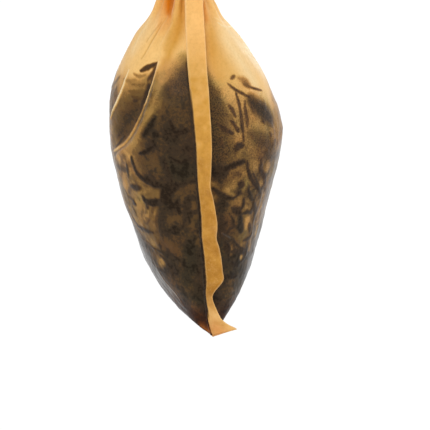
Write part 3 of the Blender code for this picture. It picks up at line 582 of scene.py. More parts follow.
def hollow(angle, depth):
    """How deep the hollow behind the big fold is at a place."""
    turned = np.mod(np.degrees(angle) + 360.0, 360.0) - 360.0
    edge, end = fold_edge(depth), fold_end(depth)
    t = (turned - end) / (edge - end)
    rise = np.clip(t / 0.72, 0, 1)
    drop = np.clip((1.12 - t) / 0.30, 0, 1)
    shape = rise * rise * (3 - 2 * rise) * drop * drop * (3 - 2 * drop)
    lip = np.exp(-(((t - 1.12) / 0.16) ** 2)) * 0.22
    inside = (depth > FOLD[0][0] * DEPTH) & (depth < FOLD[-1][0] * DEPTH)
    return np.where(inside, fold_depth(depth) * (shape - lip), 0)


def exit_valley(angle, depth):
    """How far the hem is pressed in where the strands run up beside it."""
    off = np.abs(np.mod(np.degrees(angle) - 90.0 + 180.0, 360.0) - 180.0)
    across = np.clip((30.0 - off) / 14.0, 0, 1)
    along = np.clip((VALLEY - depth) / (0.6 * VALLEY), 0, 1)
    return across * across * (3 - 2 * across) * along


def pleat_depth(depth):
    """The CAD's pleats, softer where they run out over the bag's shoulders."""
    return pleat(depth) * straight(PLEATS_LEFT, depth)


def fine_folds(angle, depth):
    """How much further in the neck's narrow pleats go, and how far out the hem's frill waves."""
    a = angle + 0.05 * np.sin(3 * angle + 1.0) + 0.02 * np.sin(7 * angle)
    uneven = 0.62 + 0.38 * np.sin(5 * a + 2.0) * np.sin(2 * a + 0.6)
    narrow = 1 - np.abs(np.sin(14.5 * a + 0.5 * np.sin(2 * a))) ** 0.8
    high = straight(NARROW_PLEATS, depth)
    turned = in_degrees(angle)
    valley = np.exp(-(((turned + 126.5) / 5.5) ** 2)) * straight(FRONT_VALLEY, depth)
    frill = straight(FRILL, depth) * (0.5 * np.sin(9 * a + 0.7) + 0.4 * np.sin(4 * a))
    return high * uneven * narrow + 0.9 * valley - frill


def section(angle, depth, folds=True, inset=0.0):
    """A place on the bag by its angle round it and its depth: the paper's outer side, or inset from it."""
    angle, depth = np.broadcast_arrays(np.asarray(angle, float), np.asarray(depth, float))
    c, s = np.cos(angle), np.sin(angle)
    corner = CORNER_FILL * between(depth, TIPS) * (inset > 0) * (0.5 + 0.5 * inset / PAPER)
    wide = np.where(c < 0, left(depth), right(depth)) - inset
    x = wide * np.sign(c) * np.abs(c) ** (2 * point(depth))
    y = (reach(depth) - inset - corner) * s
    size = np.hypot(x, y)
    inward = np.zeros_like(size)
    if folds:
        inward = pleat_depth(depth) * -pleat_wave(angle, depth) + hollow(angle, depth)
        inward = inward + fine_folds(angle, depth)
        pressed = size + inset - EXIT_RADIUS
        valley = exit_valley(angle, depth)
        inward = inward * (1 - valley) + pressed * valley
    scale = (size - inward) / size
    z = -KNOT_TO_STRING - depth + inset * between(depth, LIFT)
    return np.stack([mid_x(depth) + x * scale, mid_y(depth) + y * scale, z], -1)


def outward(angle, depth, folds=True):
    """The direction away from the paper at a place."""
    da, dd = 0.02, 0.25
    low, high = np.minimum(depth + dd, DEPTH), np.maximum(depth - dd, ROWS[0])
    round_it = section(angle + da, depth, folds) - section(angle - da, depth, folds)
    down = section(angle, low, folds) - section(angle, high, folds)
    normal = np.cross(down, round_it)
    return normal / np.linalg.norm(normal, axis=-1, keepdims=True)


def smooth(value, start, end):
    """0 at start and 1 at end, eased."""
    t = np.clip((value - start) / (end - start), 0, 1)
    return t * t * (3 - 2 * t)


def noise(places, size, seed):
    """Even noise from -1 to 1, by the size of its lumps."""
    p = np.asarray(places, float) / size + 0.37 * seed
    cell = np.floor(p).astype(np.int64)
    t = p - cell
    t = t * t * (3 - 2 * t)
    total = np.zeros(p.shape[:-1])
    for corner in range(8):
        step = np.array([corner & 1, corner >> 1 & 1, corner >> 2])
        at = cell + step
        mixed = at[..., 0] * 73856093 ^ at[..., 1] * 19349663 ^ at[..., 2] * 83492791 ^ seed * 2654435761
        mixed = ((mixed & 0xFFFFFFFF) ^ (mixed >> 13 & 0x7FFFF)) * 1274126177 & 0xFFFFFFFF
        value = ((mixed ^ mixed >> 16) & 0xFFFF) / 32767.5 - 1
        total += value * np.prod(np.where(step, t, 1 - t), axis=-1)
    return total


def new_mesh(name, points, faces, material, look=None):
    """A smooth mesh object from places in millimetres and quads."""
    mesh = bpy.data.meshes.new(name)
    faces = np.asarray(faces, np.int32)
    mesh.vertices.add(len(points))
    mesh.vertices.foreach_set("co", (np.asarray(points, float) * MM).astype(np.float32).ravel())
    mesh.loops.add(faces.size)
    mesh.loops.foreach_set("vertex_index", faces.ravel())
    mesh.polygons.add(len(faces))
    mesh.polygons.foreach_set("loop_start", np.arange(0, faces.size, faces.shape[1], dtype=np.int32))
    mesh.polygons.foreach_set("use_smooth", np.ones(len(faces), bool))
    mesh.update(calc_edges=True)
    mesh.validate()
    if look is not None:
        for k, part in enumerate(("look", "more", "hue")):
            layer = mesh.attributes.new(part, "FLOAT_VECTOR", "POINT")
            layer.data.foreach_set("vector", look[:, 3 * k:3 * k + 3].astype(np.float32).ravel())
    mesh.materials.append(material)
    obj = bpy.data.objects.new(name, mesh)
    bpy.context.scene.collection.objects.link(obj)
    return obj


def grid_faces(rows, columns, around=False):
    """Quads over a grid of points, joined round its rows if asked."""
    wide = columns if around else columns - 1
    i, j = np.meshgrid(np.arange(rows - 1), np.arange(wide), indexing="ij")
    k = (j + 1) % columns
    quads = [i * columns + j, i * columns + k, (i + 1) * columns + k, (i + 1) * columns + j]
    return np.stack(quads, -1).reshape(-1, 4)


def normals(points):
    """Outward normals of a panel's grid, whose columns run round the bag and whose rows run down it."""
    across = np.cross(np.gradient(points, axis=0), np.gradient(points, axis=1))
    return across / np.maximum(np.linalg.norm(across, axis=-1, keepdims=True), 1e-9)


class Panel:
    """One of the bag's two sides: its grid of places, and what shows through it at each of them."""

    def __init__(self, side):
        start = SEAM_ANGLE + side * math.pi
        self.depths = row_depths(PANEL_ROWS)
        fine = np.linspace(start, start + math.pi, 1500)
        ring = section(fine, self.depths[:, None])
        along = np.linalg.norm(np.diff(ring, axis=1), axis=-1).cumsum(1)
        along = np.concatenate([np.zeros((len(ring), 1)), along], 1)
        share = np.linspace(0, 1, PANEL_COLUMNS)
        # The columns are closer on the half that faces the camera.
        if side:
            share = 1 - (1 - share) ** PANEL_CLOSER
        else:
            share = share**PANEL_CLOSER
        self.angles = np.array([np.interp(share * a[-1], a, fine) for a in along])
        self.seam = np.minimum(share, 1 - share) * along[:, -1:]
        self.points = section(self.angles, self.depths[:, None])
        self.look = np.zeros((*self.angles.shape, LOOK_SIZE))
        self.lift = np.zeros(self.angles.shape)
        self.wobble = 0.7 * noise(self.points, 1.1, 15) + 0.4 * noise(self.points, 0.5, 18)
        self.drift = noise(self.points, 3.2, 19)

    def block(self, spine, reach_mm):
        """The rows and columns near a line, or None."""
        low, high = spine.min(0) - reach_mm, spine.max(0) + reach_mm
        z = self.points[:, 0, 2]
        rows = np.flatnonzero((z >= low[2]) & (z <= high[2]))
        if not len(rows):
            return None
        rows = slice(rows[0], rows[-1] + 1)
        near = self.points[rows]
        inside = ((near >= low) & (near <= high)).all(-1)
        columns = np.flatnonzero(inside.any(0))
        if not len(columns):
            return None
        return rows, slice(columns[0], columns[-1] + 1)

    def cover(self, spine, radius, soft, uneven=0.0):
        """How far a line of given half widths covers the places near it: the block, and 0 to 1 over it."""
        block = self.block(spine, radius.max() + 2 * soft)
        if block is None:
            return None, None
        places = self.points[block][..., None, :]
        a, b = spine[:-1], spine[1:]
        span = b - a
        t = np.clip(((places - a) * span).sum(-1) / np.maximum((span * span).sum(-1), 1e-9), 0, 1)
        gap = np.linalg.norm(places - a - t[..., None] * span, axis=-1)
        gap = (gap - radius[:-1] - t * (radius[1:] - radius[:-1])).min(-1)
        small, large = min(0.8 * soft, 0.36), min(0.5 * soft, 0.8)
        gap += uneven * (small * self.wobble[block] + large * self.drift[block])
        return block, 1 - smooth(gap, -soft, soft)

    def paint(self, spine, radius, soft, channel, value, weight=1.0, uneven=0.0):
        block, cover = self.cover(spine, radius, soft, uneven)
        if block is not None:
            layer = self.look[..., channel]
            layer[block] += (value - layer[block]) * cover * weight

    def raise_up(self, spine, radius, soft, height):
        block, cover = self.cover(spine, radius, soft)
        if block is not None:
            self.lift[block] += height * cover


def row_depths(count):
    """Depths spaced evenly down the bag's skin, and further apart in the neck."""
    fine = np.linspace(ROWS[0], DEPTH, 4000)
    steps = np.hypot(np.diff(fine), 0.8 * np.diff(right(fine))) * np.interp(fine[1:], [8, 16], [0.6, 1])
    along = np.concatenate([[0], steps.cumsum()])
    return np.interp(np.linspace(0, along[-1], count), along, fine)


def line_on_bag(places, count, inset=0.0):
    """A line through (angle in degrees, depth) places, as points on the bag's skin."""
    places = np.array(places, float)
    if len(places) == 1:
        places = np.vstack([places, places + (0.5, 0.0)])
    places[:, 0] = np.radians(places[:, 0])
    steps = np.linalg.norm(np.diff(places * (20.0, 1.0), axis=0), axis=1)
    along = np.concatenate([[0], steps.cumsum()])
    table = np.column_stack([along, places])
    at = np.linspace(0, along[-1], count)
    if len(places) > 2:
        angle, depth = curve(table, 1)(at), curve(table, 2)(at)
    else:
        angle, depth = np.interp(at, along, places[:, 0]), np.interp(at, along, places[:, 1])
    return section(angle, depth, inset=inset)


def taper(count, sharp=0.5):
    """A leaf's half width along it, as a share of its widest."""
    t = np.linspace(0.06, 0.94, count)
    return np.sin(math.pi * t) ** sharp


def small_frame(angle, depth):
    """At each place on the bag: how its angle and depth change with a millimetre round it and down it."""
    d = 0.01
    here = section(angle, depth)
    by_angle = (section(angle + d, depth) - here) / d
    by_depth = (section(angle, depth + 10 * d) - here) / (10 * d)
    size = np.linalg.norm(by_angle, axis=-1)
    lean = (by_depth * by_angle).sum(-1) / size**2
    down = np.linalg.norm(by_depth - lean[..., None] * by_angle, axis=-1)
    return 1 / size, lean, 1 / down


def scattered_leaves(rng, count):
    """Leaf pieces lying under the paper all round: lines of (angle, depth), half widths, shades, softness."""
    depth = rng.uniform(22.0, DEPTH - 0.6, count * 3)
    angle = rng.uniform(0, 2 * math.pi, count * 3)
    wide = np.hypot(reach(depth), 0.6 * right(depth)) / 28.0
    level = tea_level(in_degrees(angle))
    keep = (rng.uniform(0, 1, len(depth)) < wide) & (depth > level + rng.uniform(0, 9, len(depth)))
    angle, depth = angle[keep][:count], depth[keep][:count]
    n = len(angle)
    broad = rng.uniform(0, 1, n) < BROAD_SHARE
    length, half, shade, soft = [
        np.where(broad, rng.uniform(*one, n), rng.uniform(*other, n))
        for one, other in zip(BROAD_LEAF, THIN_LEAF)
    ]
    turn = rng.uniform(0, math.pi, n)
    bend = rng.normal(0, 0.6, n)
    t = np.linspace(-0.5, 0.5, 8)
    heading = turn[:, None] + bend[:, None] * t
    x = np.cumsum(np.cos(heading), 1) / 8 * length[:, None]
    y = np.cumsum(np.sin(heading), 1) / 8 * length[:, None]
    x, y = x - x.mean(1, keepdims=True), y - y.mean(1, keepdims=True)
    turned, lean, down = small_frame(angle, depth)
    step = y * down[:, None]
    angles = angle[:, None] + x * turned[:, None] - step * lean[:, None]
    depths = np.clip(depth[:, None] + step, 20.0, DEPTH - 0.05)
    return angles, depths, half, shade, soft


def strays():
    """Single leaves that cling to the paper higher up, on the side turned away from the camera."""
    rng = np.random.default_rng(23)
    found = []
    for _ in range(STRAY_COUNT):
        angle, rise = rng.uniform(14, 162), rng.exponential(4.0) - 6.0
        depth = float(tea_level(angle if angle < 180 else angle - 360)) - rise
        turn, long = rng.uniform(0, math.pi), rng.uniform(0.8, 4.0)
        bend = rng.uniform(-0.5, 0.5)
        across, down = long * math.cos(turn) * 3.2, long * math.sin(turn)
        places = [(angle - across / 2, depth - down / 2), (angle + bend * down, depth + 0.25 * bend * across),
                  (angle + across / 2, depth + down / 2)]
        found.append((places, rng.uniform(0.4, 1.2), rng.uniform(0.62, 0.9), rng.uniform(0.2, 0.5), 0.5))
    return found


def ground(angle, depth, places):
    """How dark the tea behind the paper is on the whole, and how much its leaves stand out from it."""
    turned = in_degrees(angle)
    under = depth - tea_level(turned)
    tone = 0.64 + 0.10 * noise(places, 7.0, 3)
    contrast = 0.8 + 0 * tone
    for at, deep, reach_round, reach_down, value, contrast_there in GROUNDS:
        off = np.mod(turned - at + 180, 360) - 180
        share = np.exp(-((off / reach_round) ** 4) - ((depth - deep) / reach_down) ** 4)
        tone += (value + 0.05 * noise(places, 5.0, 4) - tone) * share
        contrast += (contrast_there - contrast) * share
    low = smooth(depth, 60, 72)
    tone += (0.91 + 0.05 * noise(places, 4.0, 6) - tone) * low
    contrast += (0.35 - contrast) * low
    tone += contrast * (0.13 * noise(places, 1.7, 9) + 0.09 * noise(places, 0.8, 10))
    right_front = np.exp(-(((turned + 50) / 34) ** 2))
    arch = np.exp(-(((turned + 98) / 13) ** 2))
    under = under + 8.0 * arch + 4.0 * np.exp(-(((turned + 80) / 7) ** 2)) * (1 - arch)
    under = under + 2.2 * noise(places, 7.0, 17) + 1.3 * noise(places, 2.4, 5)
    start = smooth(under, -2.0, 7.0 + 5.0 * right_front + 3.5 * arch)
    return np.clip(tone, 0, 0.96) * start, contrast * start


def dress(panel, leaves):
    """Fills in what shows through a panel, its painted highlights, shade and grey sheen, and how far each
    leaf and crease stands out.
    """
    angle, depth = panel.angles, panel.depths[:, None]
    turned = in_degrees(angle)
    panel.look[..., SHOWN], contrast = ground(angle, depth, panel.points)
    panel.look[..., HUED] = (
        0.6 * noise(panel.points, 5.5, 27) + 0.4 * noise(panel.points, 2.0, 28) - 0.3 * smooth(depth, 40, 60)
    )

    for place, across, down, tilt, value, weight, hue in PATCHES:
        lean = math.radians(tilt)
        turned_by, slant, deeper = small_frame(math.radians(place[0]), np.array(place[1]))
        t = np.linspace(-1, 1, 7)
        long, thin = max(across, down), min(across, down)
        heading = lean if across > down else lean + 0.5 * math.pi
        x, y = t * (long - thin) * math.cos(heading), t * (long - thin) * math.sin(heading)
        step = y * deeper
        spine = section(math.radians(place[0]) + x * turned_by - step * slant, place[1] + step)
        panel.paint(spine, np.full(7, 0.75 * thin), 0.5 * thin, SHOWN, value, weight, 0.5)
        panel.paint(spine, np.full(7, 0.75 * thin), 0.5 * thin, HUED, hue, weight, 0.5)
    tone, panel.look[..., SHOWN] = panel.look[..., SHOWN].copy(), 0

    # The scattered leaves are worked out apart from the tone, and added to it by the contrast of their place.
    angles, depths, half, shade, soft = leaves
    shape = taper(8)
    for k in range(len(half)):
        spine = section(angles[k], depths[k])
        panel.paint(spine, half[k] * shape, soft[k], SHOWN, shade[k], 0.85, 0.7)
        panel.raise_up(spine, half[k] * shape, 0.35, 0.03)
    panel.look[..., SHOWN] = np.clip(tone + contrast * panel.look[..., SHOWN], 0, 1)
    for places, width, value, blur, hue in STROKES + strays():
        spine = line_on_bag(places, 12)
        radius = 0.62 * width * (0.25 + 0.75 * taper(12, 0.6)) * (1 + 0.22 * noise(spine, 0.9, 14))
        panel.paint(spine, radius, max(1.2 * blur, 0.25), SHOWN, value, 0.94, 0.4)
        panel.paint(spine, radius, max(1.2 * blur, 0.25), HUED, hue, 0.9)
        panel.raise_up(spine, radius, 0.35, 0.06)
    panel.look[..., SHOWN] *= smooth(depth, 15, 20)
    grain = 1 - smooth(panel.look[..., SHOWN], 0.78, 0.92)

    # Each crease shows less tea and carries a painted highlight along it.
    for places, width, height, tea_left, highlight in RIDGES:
        spine = line_on_bag(places, 24)
        radius = width * taper(24, 0.5)
        panel.paint(spine, radius, 0.25, SHOWN, tea_left, 0.9)
        panel.paint(spine, 0.8 * radius, 0.2, HIGHLIGHTED, highlight)
        panel.raise_up(spine, 0.6 * radius, 0.35, height)
    for places, width, soft_edge, value, weight in TEA_BANDS_AND_SHADOWS:
        spine = line_on_bag(places, 20)
        panel.paint(spine, width * taper(20, 0.35), soft_edge, SHOWN, value, weight, 0.7)

    # Painted shade: the paper between the neck's folds is a deeper orange by how far in it lies, and the
    # places that have two layers are deeper too.
    deep = np.clip(fold_depth_at(angle, depth) / 1.8, 0, 1) * (1 - smooth(depth, 10, 22))
    hem = 0.25 * (1 - smooth(depth, 4.5, 6.5))
    panel.look[..., LAYERS_AND_FOLD_SHADE] = np.clip(0.25 * deep + hem, 0, 1)
    panel.look[..., ORANGE_AND_SHADE] = 0.5 * deep
    panel.look[..., DRY] = 1 - smooth(depth, 10, 24)
    panel.look[..., HUED] += (2.0 - panel.look[..., HUED]) * smooth(depth, 78, 82.5) * (turned < 0)
    # Two layers with painted crease shade, orange with painted shade, painted highlights, painted sheen and
    # wetness.
    painted = (LAYERS_AND_FOLD_SHADE, DOUBLES_AND_CREASE_SHADE), (ORANGE_AND_SHADE, ORANGES_AND_SHADES), (HIGHLIGHTED, PAINTED_HIGHLIGHTS), (PAINTED_SHINE, PAINTED_SHEENS), (WET, WETS)
    for channel, lines in painted:
        for places, width, soft_edge, value, weight in lines:
            panel.paint(line_on_bag(places, 20), width * taper(20, 0.35), soft_edge, channel, value, weight)
    near = np.exp(-(((turned + 79) / 11) ** 4) - ((depth - 34) / 14) ** 4)
    lower = np.exp(-(((turned + 54) / 30) ** 4) - ((depth - 44) / 20) ** 4)
    arch = np.exp(-(((turned + 106) / 9) ** 4) - ((depth - 21) / 6) ** 4)
    panel.look[..., SPECKLED] = (
        np.maximum(np.maximum(0.5 * near, 0.25 * arch), 0.5 * lower) * (0.4 + 0.6 * grain)
        + 0.16 * grain * smooth(depth, 20, 24) * (1 - smooth(depth, 46, 56))
    )

    panel.lift += 0.05 * noise(panel.points, 3.6, 11) * smooth(depth, 22, 34)
    panel.lift += 0.015 * noise(panel.points, 1.1, 12) * smooth(depth, 16, 30)
    high = smooth(depth, 2, 8) * (1 - 0.6 * smooth(depth, 18, 30))
    wrinkles = 0.08 * noise(panel.points * (1, 1, 0.25), 1.5, 13)
    wrinkles += 0.025 * noise(panel.points * (1, 1, 0.3), 0.7, 16)
    panel.lift += high * wrinkles
    stand = SEAL_STAND + 0.5 * SEAL_THICK + (FLARE_STAND - SEAL_STAND) * smooth(depth, 70, 76)
    panel.lift += (stand - panel.lift) * np.exp(-((panel.seam / 0.35) ** 2)) * smooth(depth, 3, 5)


def panel_object(panel, name, material):
    """A panel as a piece: out of the neck's inside, over the hem, down the bag and under it to the fold."""
    skin = panel.points + normals(panel.points) * panel.lift[..., None]
    middle = np.array([mid_x(ROWS[0]), mid_y(ROWS[0]), 0.0])
    angle = panel.angles[0]
    rim = np.linalg.norm((skin[0] - middle)[:, :2], axis=-1)
    narrow = 1.25 + 0.25 * np.cos(PLEATS * angle) + 0.12 * np.sin(5 * angle + 1)
    rows = []
    for t in np.linspace(0, 1, 20):
        depth = 3.5 - (3.5 - ROWS[0]) * t
        r = narrow + (rim - 0.45 - narrow) * smooth(t, 0.25, 1.05)
        z = np.full(len(angle), -KNOT_TO_STRING - depth)
        rows.append(middle + np.stack([r * np.cos(angle), r * np.sin(angle), z], -1))
    over = 0.5 * (rows[-1] + skin[0]) + (0, 0, 0.22)
    under = []
    for t in np.linspace(0, 1, 9)[1:]:
        row = skin[-1].copy()
        row[:, 0] += (mid_x(DEPTH) - row[:, 0]) * t
        row[:, 2] -= 0.4 * math.sin(0.5 * math.pi * t)
        under.append(row)
    points = np.concatenate([rows, [over], skin, under])
    inside = np.zeros((len(rows) + 1, len(angle), LOOK_SIZE))
    inside[..., LAYERS_AND_FOLD_SHADE] = 0.55
    look = np.concatenate([inside, panel.look, np.repeat(panel.look[-1:], len(under), 0)])
    faces = grid_faces(*points.shape[:2])
    return new_mesh(name, points.reshape(-1, 3), faces, material, look.reshape(-1, LOOK_SIZE))


def through(keys, values, at):
    """Values along a smooth line through the keys' values."""
    slope = np.gradient(values, keys, axis=0)
    i = np.clip(np.searchsorted(keys, at) - 1, 0, len(keys) - 2)
    step = (keys[i + 1] - keys[i])[:, None, None]
    t = (at - keys[i])[:, None, None] / step
    return cubic(t, step, values[i], slope[i], values[i + 1], slope[i + 1])


def seal_line(side, depth, shares):
    """A side seal's middle at a depth, from the seam to its free edge."""
    start = SEAM_ANGLE + side * math.pi
    if depth / DEPTH > SEAL_LIES[-1][0] + 0.001:
        turn = 1 - 2 * side
        edge = np.array([axis(depth) for axis in seal_flare]) * (turn, turn, 1)
        seam = section(start, depth, folds=False)
        return seam + np.array([0.0, -turn, 0.0]) * FLARE_STAND + edge * shares[:, None]
    width = seal_width(depth) * straight(SEAL_TRIM, depth)
    off = math.radians(seal_off(depth))
    sweep = start + np.linspace(0, 1.6, 161)
    line = section(sweep, depth, folds=False)
    along = np.concatenate([[0], np.linalg.norm(np.diff(line, axis=0), axis=1).cumsum()])
    flat = shares * width * math.cos(off)
    on = np.stack([np.interp(flat, along, line[:, k]) for k in range(3)], -1)
    away = outward(np.interp(flat, along, sweep), np.full(len(flat), depth), folds=False)
    stand = SEAL_STAND + 0.5 * SEAL_THICK + shares * width * math.sin(off) + 0.22 * shares**4
    return on + away * stand[:, None]


def side_seal(side, name, material):
    """A side seal: two layers pressed into a thin strip with a soft free edge."""
    shares = np.linspace(0, 1, SEAL_COLUMNS) ** 0.9
    keys = DEPTH * np.array([row[0] for row in SEAL_LIES + SEAL_FLARES])
    depths = np.linspace(keys[0], DEPTH, SEAL_ROWS)
    middle = through(keys, np.array([seal_line(side, key, shares) for key in keys]), depths)
    across = np.cross(np.gradient(middle, axis=0), np.gradient(middle, axis=1))
    across /= np.linalg.norm(across, axis=-1, keepdims=True)
    rough = 0.05 * noise(middle, 1.3, 21) + 0.06 * noise(middle * (1, 1, 0.5), 4.0, 22)
    middle = middle + across * rough[..., None] * smooth(shares, 0.0, 0.3)[None, :, None]
    edge = noise(middle[:, -1], 1.7, 23)
    middle[:, -1] += (middle[:, -1] - middle[:, -2]) * 0.25 * edge[:, None]
    half = 0.5 * SEAL_THICK * np.sqrt(np.clip(1.02 - shares**12, 0.04, 1))[None, :, None]
    points = np.concatenate([middle + across * half, (middle - across * half)[:, ::-1]], 1)
    rows, wide = points.shape[:2]
    faces = grid_faces(rows, wide, around=True)
    ends = [[i, i + 1, wide - 2 - i, wide - 1 - i] for i in range(SEAL_COLUMNS - 1)]
    last = [[(rows - 1) * wide + k for k in reversed(quad)] for quad in ends]
    look = np.zeros((rows, wide, LOOK_SIZE))
    share = np.concatenate([shares, shares[::-1]])[None, :]
    deep = depths[:, None]
    # Painted shadow: the seal's attached edge is darkened below the neck, where it meets the bag.
    root = (1 - smooth(share - 0.08 * smooth(deep, 40, 60), 0.02, 0.15)) * smooth(deep, 20, 32)
    look[..., SHOWN] = (0.05 + 0.08 * noise(points, 0.9, 26)) * (1 - smooth(deep, 76, 83))
    look[..., SHOWN] += 0.92 * root * (1 - smooth(deep, 80, 83.5))
    look[..., LAYERS_AND_FOLD_SHADE] = (
        0.12
        + 0.34 * smooth(deep, 12, 30)
        + 0.20 * smooth(deep, 30, 60)
        + 0.06 * smooth(deep, 66, 74)
        - 0.34 * smooth(deep, 76, 81)
    )
    uneven = 0.11 * noise(points, 2.2, 24) + 0.09 * noise(points, 1.0, 25)
    look[..., LAYERS_AND_FOLD_SHADE] += uneven * smooth(deep, 10, 30)
    look[..., SPECKLED] = 0.35 * smooth(deep, 22, 45)
    # Painted shade: a deeper orange at the flare's root, fading towards its free edge.
    look[..., ORANGE_AND_SHADE] = 0.5 * smooth(deep, 81.0, 84.5) * (1 - smooth(share, 0.3, 0.9))
    # Painted highlights along the free edge and along the attached edge in the neck; the flare is lighter
    # too.
    look[..., HIGHLIGHTED] = (
        0.15 * smooth(deep, 78, 82)
        + 0.22 * smooth(share, 0.93, 0.99)
        + 0.35 * np.exp(-((share / 0.07) ** 2)) * (1 - smooth(deep, 14, 30))
    )
    faces = np.concatenate([faces, ends, last])
    return new_mesh(name, points.reshape(-1, 3), faces, material, look.reshape(-1, LOOK_SIZE))


def tea_mass(material):
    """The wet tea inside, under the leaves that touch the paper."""
    angle = np.linspace(0, 2 * math.pi, TEA_COLUMNS, endpoint=False)
    rim = tea_level(in_degrees(angle))
    share = np.linspace(0, 1, TEA_ROWS)[:, None] ** 0.8
    depth = rim + 1.5 + (DEPTH - 2.5 - rim - 1.5) * share
    points = section(angle, depth, inset=1.6)
    lumpy = 0.6 * noise(points, 2.6, 31) + 0.3 * noise(points, 1.2, 32)
    middle = np.stack([mid_x(depth), mid_y(depth), 0 * depth], -1)
    flat = (points - middle) * (1, 1, 0)
    points = points + flat * (lumpy / np.maximum(np.linalg.norm(flat, axis=-1), 2.0))[..., None]
    heap = np.array([mid_x(24.0), mid_y(24.0), 0])
    top = [points[0] * (k, k, 1) + heap * (1 - k) for k in (0.02, 0.3, 0.6, 0.85)]
    for ring, rise in zip(top, (1.6, 1.3, 0.8, 0.3)):
        ring[:, 2] += rise + 0.4 * noise(ring, 1.5, 33)
    low = [points[-1] * (k, 1, 1) + np.array([mid_x(DEPTH), 0, -0.3]) * (1 - k) for k in (0.6, 0.05)]
    for ring in low:
        ring[:, 1] = points[-1][:, 1]
    points = np.concatenate([top, points, low])
    faces = grid_faces(*points.shape[:2], around=True)
    return new_mesh("tea_mass", points.reshape(-1, 3), faces, material)


def leaf_pieces(leaves, material):
    """The leaf pieces that lie against the paper, as thin curled strips just inside it."""
    rng = np.random.default_rng(5)
    angles, depths, half = leaves[0], leaves[1], leaves[2]
    count, long = angles.shape
    inset = rng.uniform(0.45, 1.1, count)
    cross = np.array([-1.0, -0.4, 0.4, 1.0])
    points, faces = [], []
    one = grid_faces(long, len(cross))
    for k in range(count):
        spine = section(angles[k], depths[k], inset=inset[k])
        way = np.gradient(spine, axis=0)
        away = outward(angles[k], depths[k])
        side = np.cross(way, away)
        side /= np.maximum(np.linalg.norm(side, axis=-1, keepdims=True), 1e-9)
        width = (half[k] * taper(long))[:, None, None]
        curl = -0.3 * (cross**2)[None, :, None] * width
        strip = spine[:, None] + side[:, None] * cross[None, :, None] * width + away[:, None] * curl
        faces.append(one + len(points) * one.max() + len(points))
        points.append(strip.reshape(-1, 3))
    return new_mesh("leaf_pieces", np.concatenate(points), np.concatenate(faces), material)


def frames(path):
    """Two directions across a path at each point, turning as little as they can."""
    way = np.gradient(path, axis=0)
    way /= np.linalg.norm(way, axis=1, keepdims=True)
    first = np.cross(way[0], (0.3, 0.5, 0.8))
    found = [first / np.linalg.norm(first)]
    for k in range(1, len(path)):
        v = found[-1] - way[k] * (found[-1] @ way[k])
        found.append(v / np.linalg.norm(v))
    found = np.array(found)
    return found, np.cross(way, found)


def even(path, step):
    """A path's points a step apart."""
    length = np.concatenate([[0], np.linalg.norm(np.diff(path, axis=0), axis=1).cumsum()])
    at = np.linspace(0, length[-1], int(length[-1] / step) + 1)
    return np.stack([np.interp(at, length, path[:, k]) for k in range(3)], -1), at


def eased(route):
    """A smooth path through a route's points."""
    route = np.array(route, float)
    keys = np.concatenate([[0], np.linalg.norm(np.diff(route, axis=0), axis=1).cumsum()])
    at = np.linspace(0, keys[-1], 60 * len(route))
    return through(keys, route[:, None, :], at)[:, 0]


def string_path():
    """The string from one free end down through the knot, once round in the hem, and up round itself."""
    y, r = -NECK_Y, RING_RADIUS
    x = 0.5 * (STRING + STRAND_GAP)

    def strand(side):
        return [
            (side * r * math.sin(LEAVE), r * math.cos(LEAVE), 0.0),
            (side * 0.37 * r, 1.08 * r, 0.0),
            (side * x * 1.05, 0.935 * EXIT_RADIUS, 0.12 * STRING),
            (side * x, y - 0.44 * STRING, 0.62 * STRING),
            (side * x, y, 1.6 * STRING),
            (side * x, y, 3.2 * STRING),
            (side * x, y + 0.1, 0.5 * KNOT_TO_STRING),
            (side * x, y, KNOT_TO_STRING - 3.0),
        ]

    top = KNOT_TO_STRING
    through_knot = [
        (0.25, y, top - 1.7),
        (0.0, y, top - 0.8),
        (0.0, y, top + 0.8),
        (0.25, y - 0.1, top + 1.8),
    ]
    tail = [(1.2, y - 0.7, top + 0.6 * TAIL), (1.9, y - 1.6, top + TAIL)]
    turn = math.pi + np.linspace(0, COIL_TURNS * 2 * math.pi, COIL_POINTS)
    heights = [top - 0.5 * COIL_TALL + COIL_TALL * k / (COIL_POINTS - 1) for k in range(COIL_POINTS)]
    coil = [(COIL_RADIUS * math.cos(a), y + COIL_RADIUS * math.sin(a), z) for a, z in zip(turn, heights)]
    coil_tail = [(-0.5, y - 0.6, top + 2.2), (-1.3, y + 0.1, top + 0.6 * TAIL), (-1.8, y + 0.5, top + TAIL)]
    ring = 0.5 * math.pi - LEAVE - np.linspace(0, 2 * math.pi - 2 * LEAVE, 28)[1:-1]
    inside = [(r * math.cos(a), r * math.sin(a), 0.0) for a in ring]
    route = (strand(1) + through_knot + tail)[::-1] + inside + strand(-1) + coil + coil_tail
    return np.array(route) + (0.0, NECK_Y, -KNOT_TO_STRING)


def drawstring(material):
    """A three-ply twisted cotton string."""
    path, at = even(eased(string_path()), STRING_STEP)
    one, two = frames(path)
    pieces, faces = [], []
    ring = np.linspace(0, 2 * math.pi, PLY_SIDES, endpoint=False)
    ends = np.clip(np.minimum(at, at[-1] - at) / 0.35, 0.05, 1) ** 0.5
    for ply in range(3):
        turn = (2 * math.pi / TWIST * at + ply * 2 * math.pi / 3)[:, None]
        centre = path + PLY_OFF * (np.cos(turn) * one + np.sin(turn) * two)
        across = PLY_HALF * ends[:, None, None]
        tube = centre[:, None] + across * (
            np.cos(ring)[None, :, None] * one[:, None] + np.sin(ring)[None, :, None] * two[:, None]
        )
        faces.append(grid_faces(len(path), PLY_SIDES, around=True) + ply * len(path) * PLY_SIDES)
        pieces.append(tube.reshape(-1, 3))
    return new_mesh("string", np.concatenate(pieces), np.concatenate(faces), material)


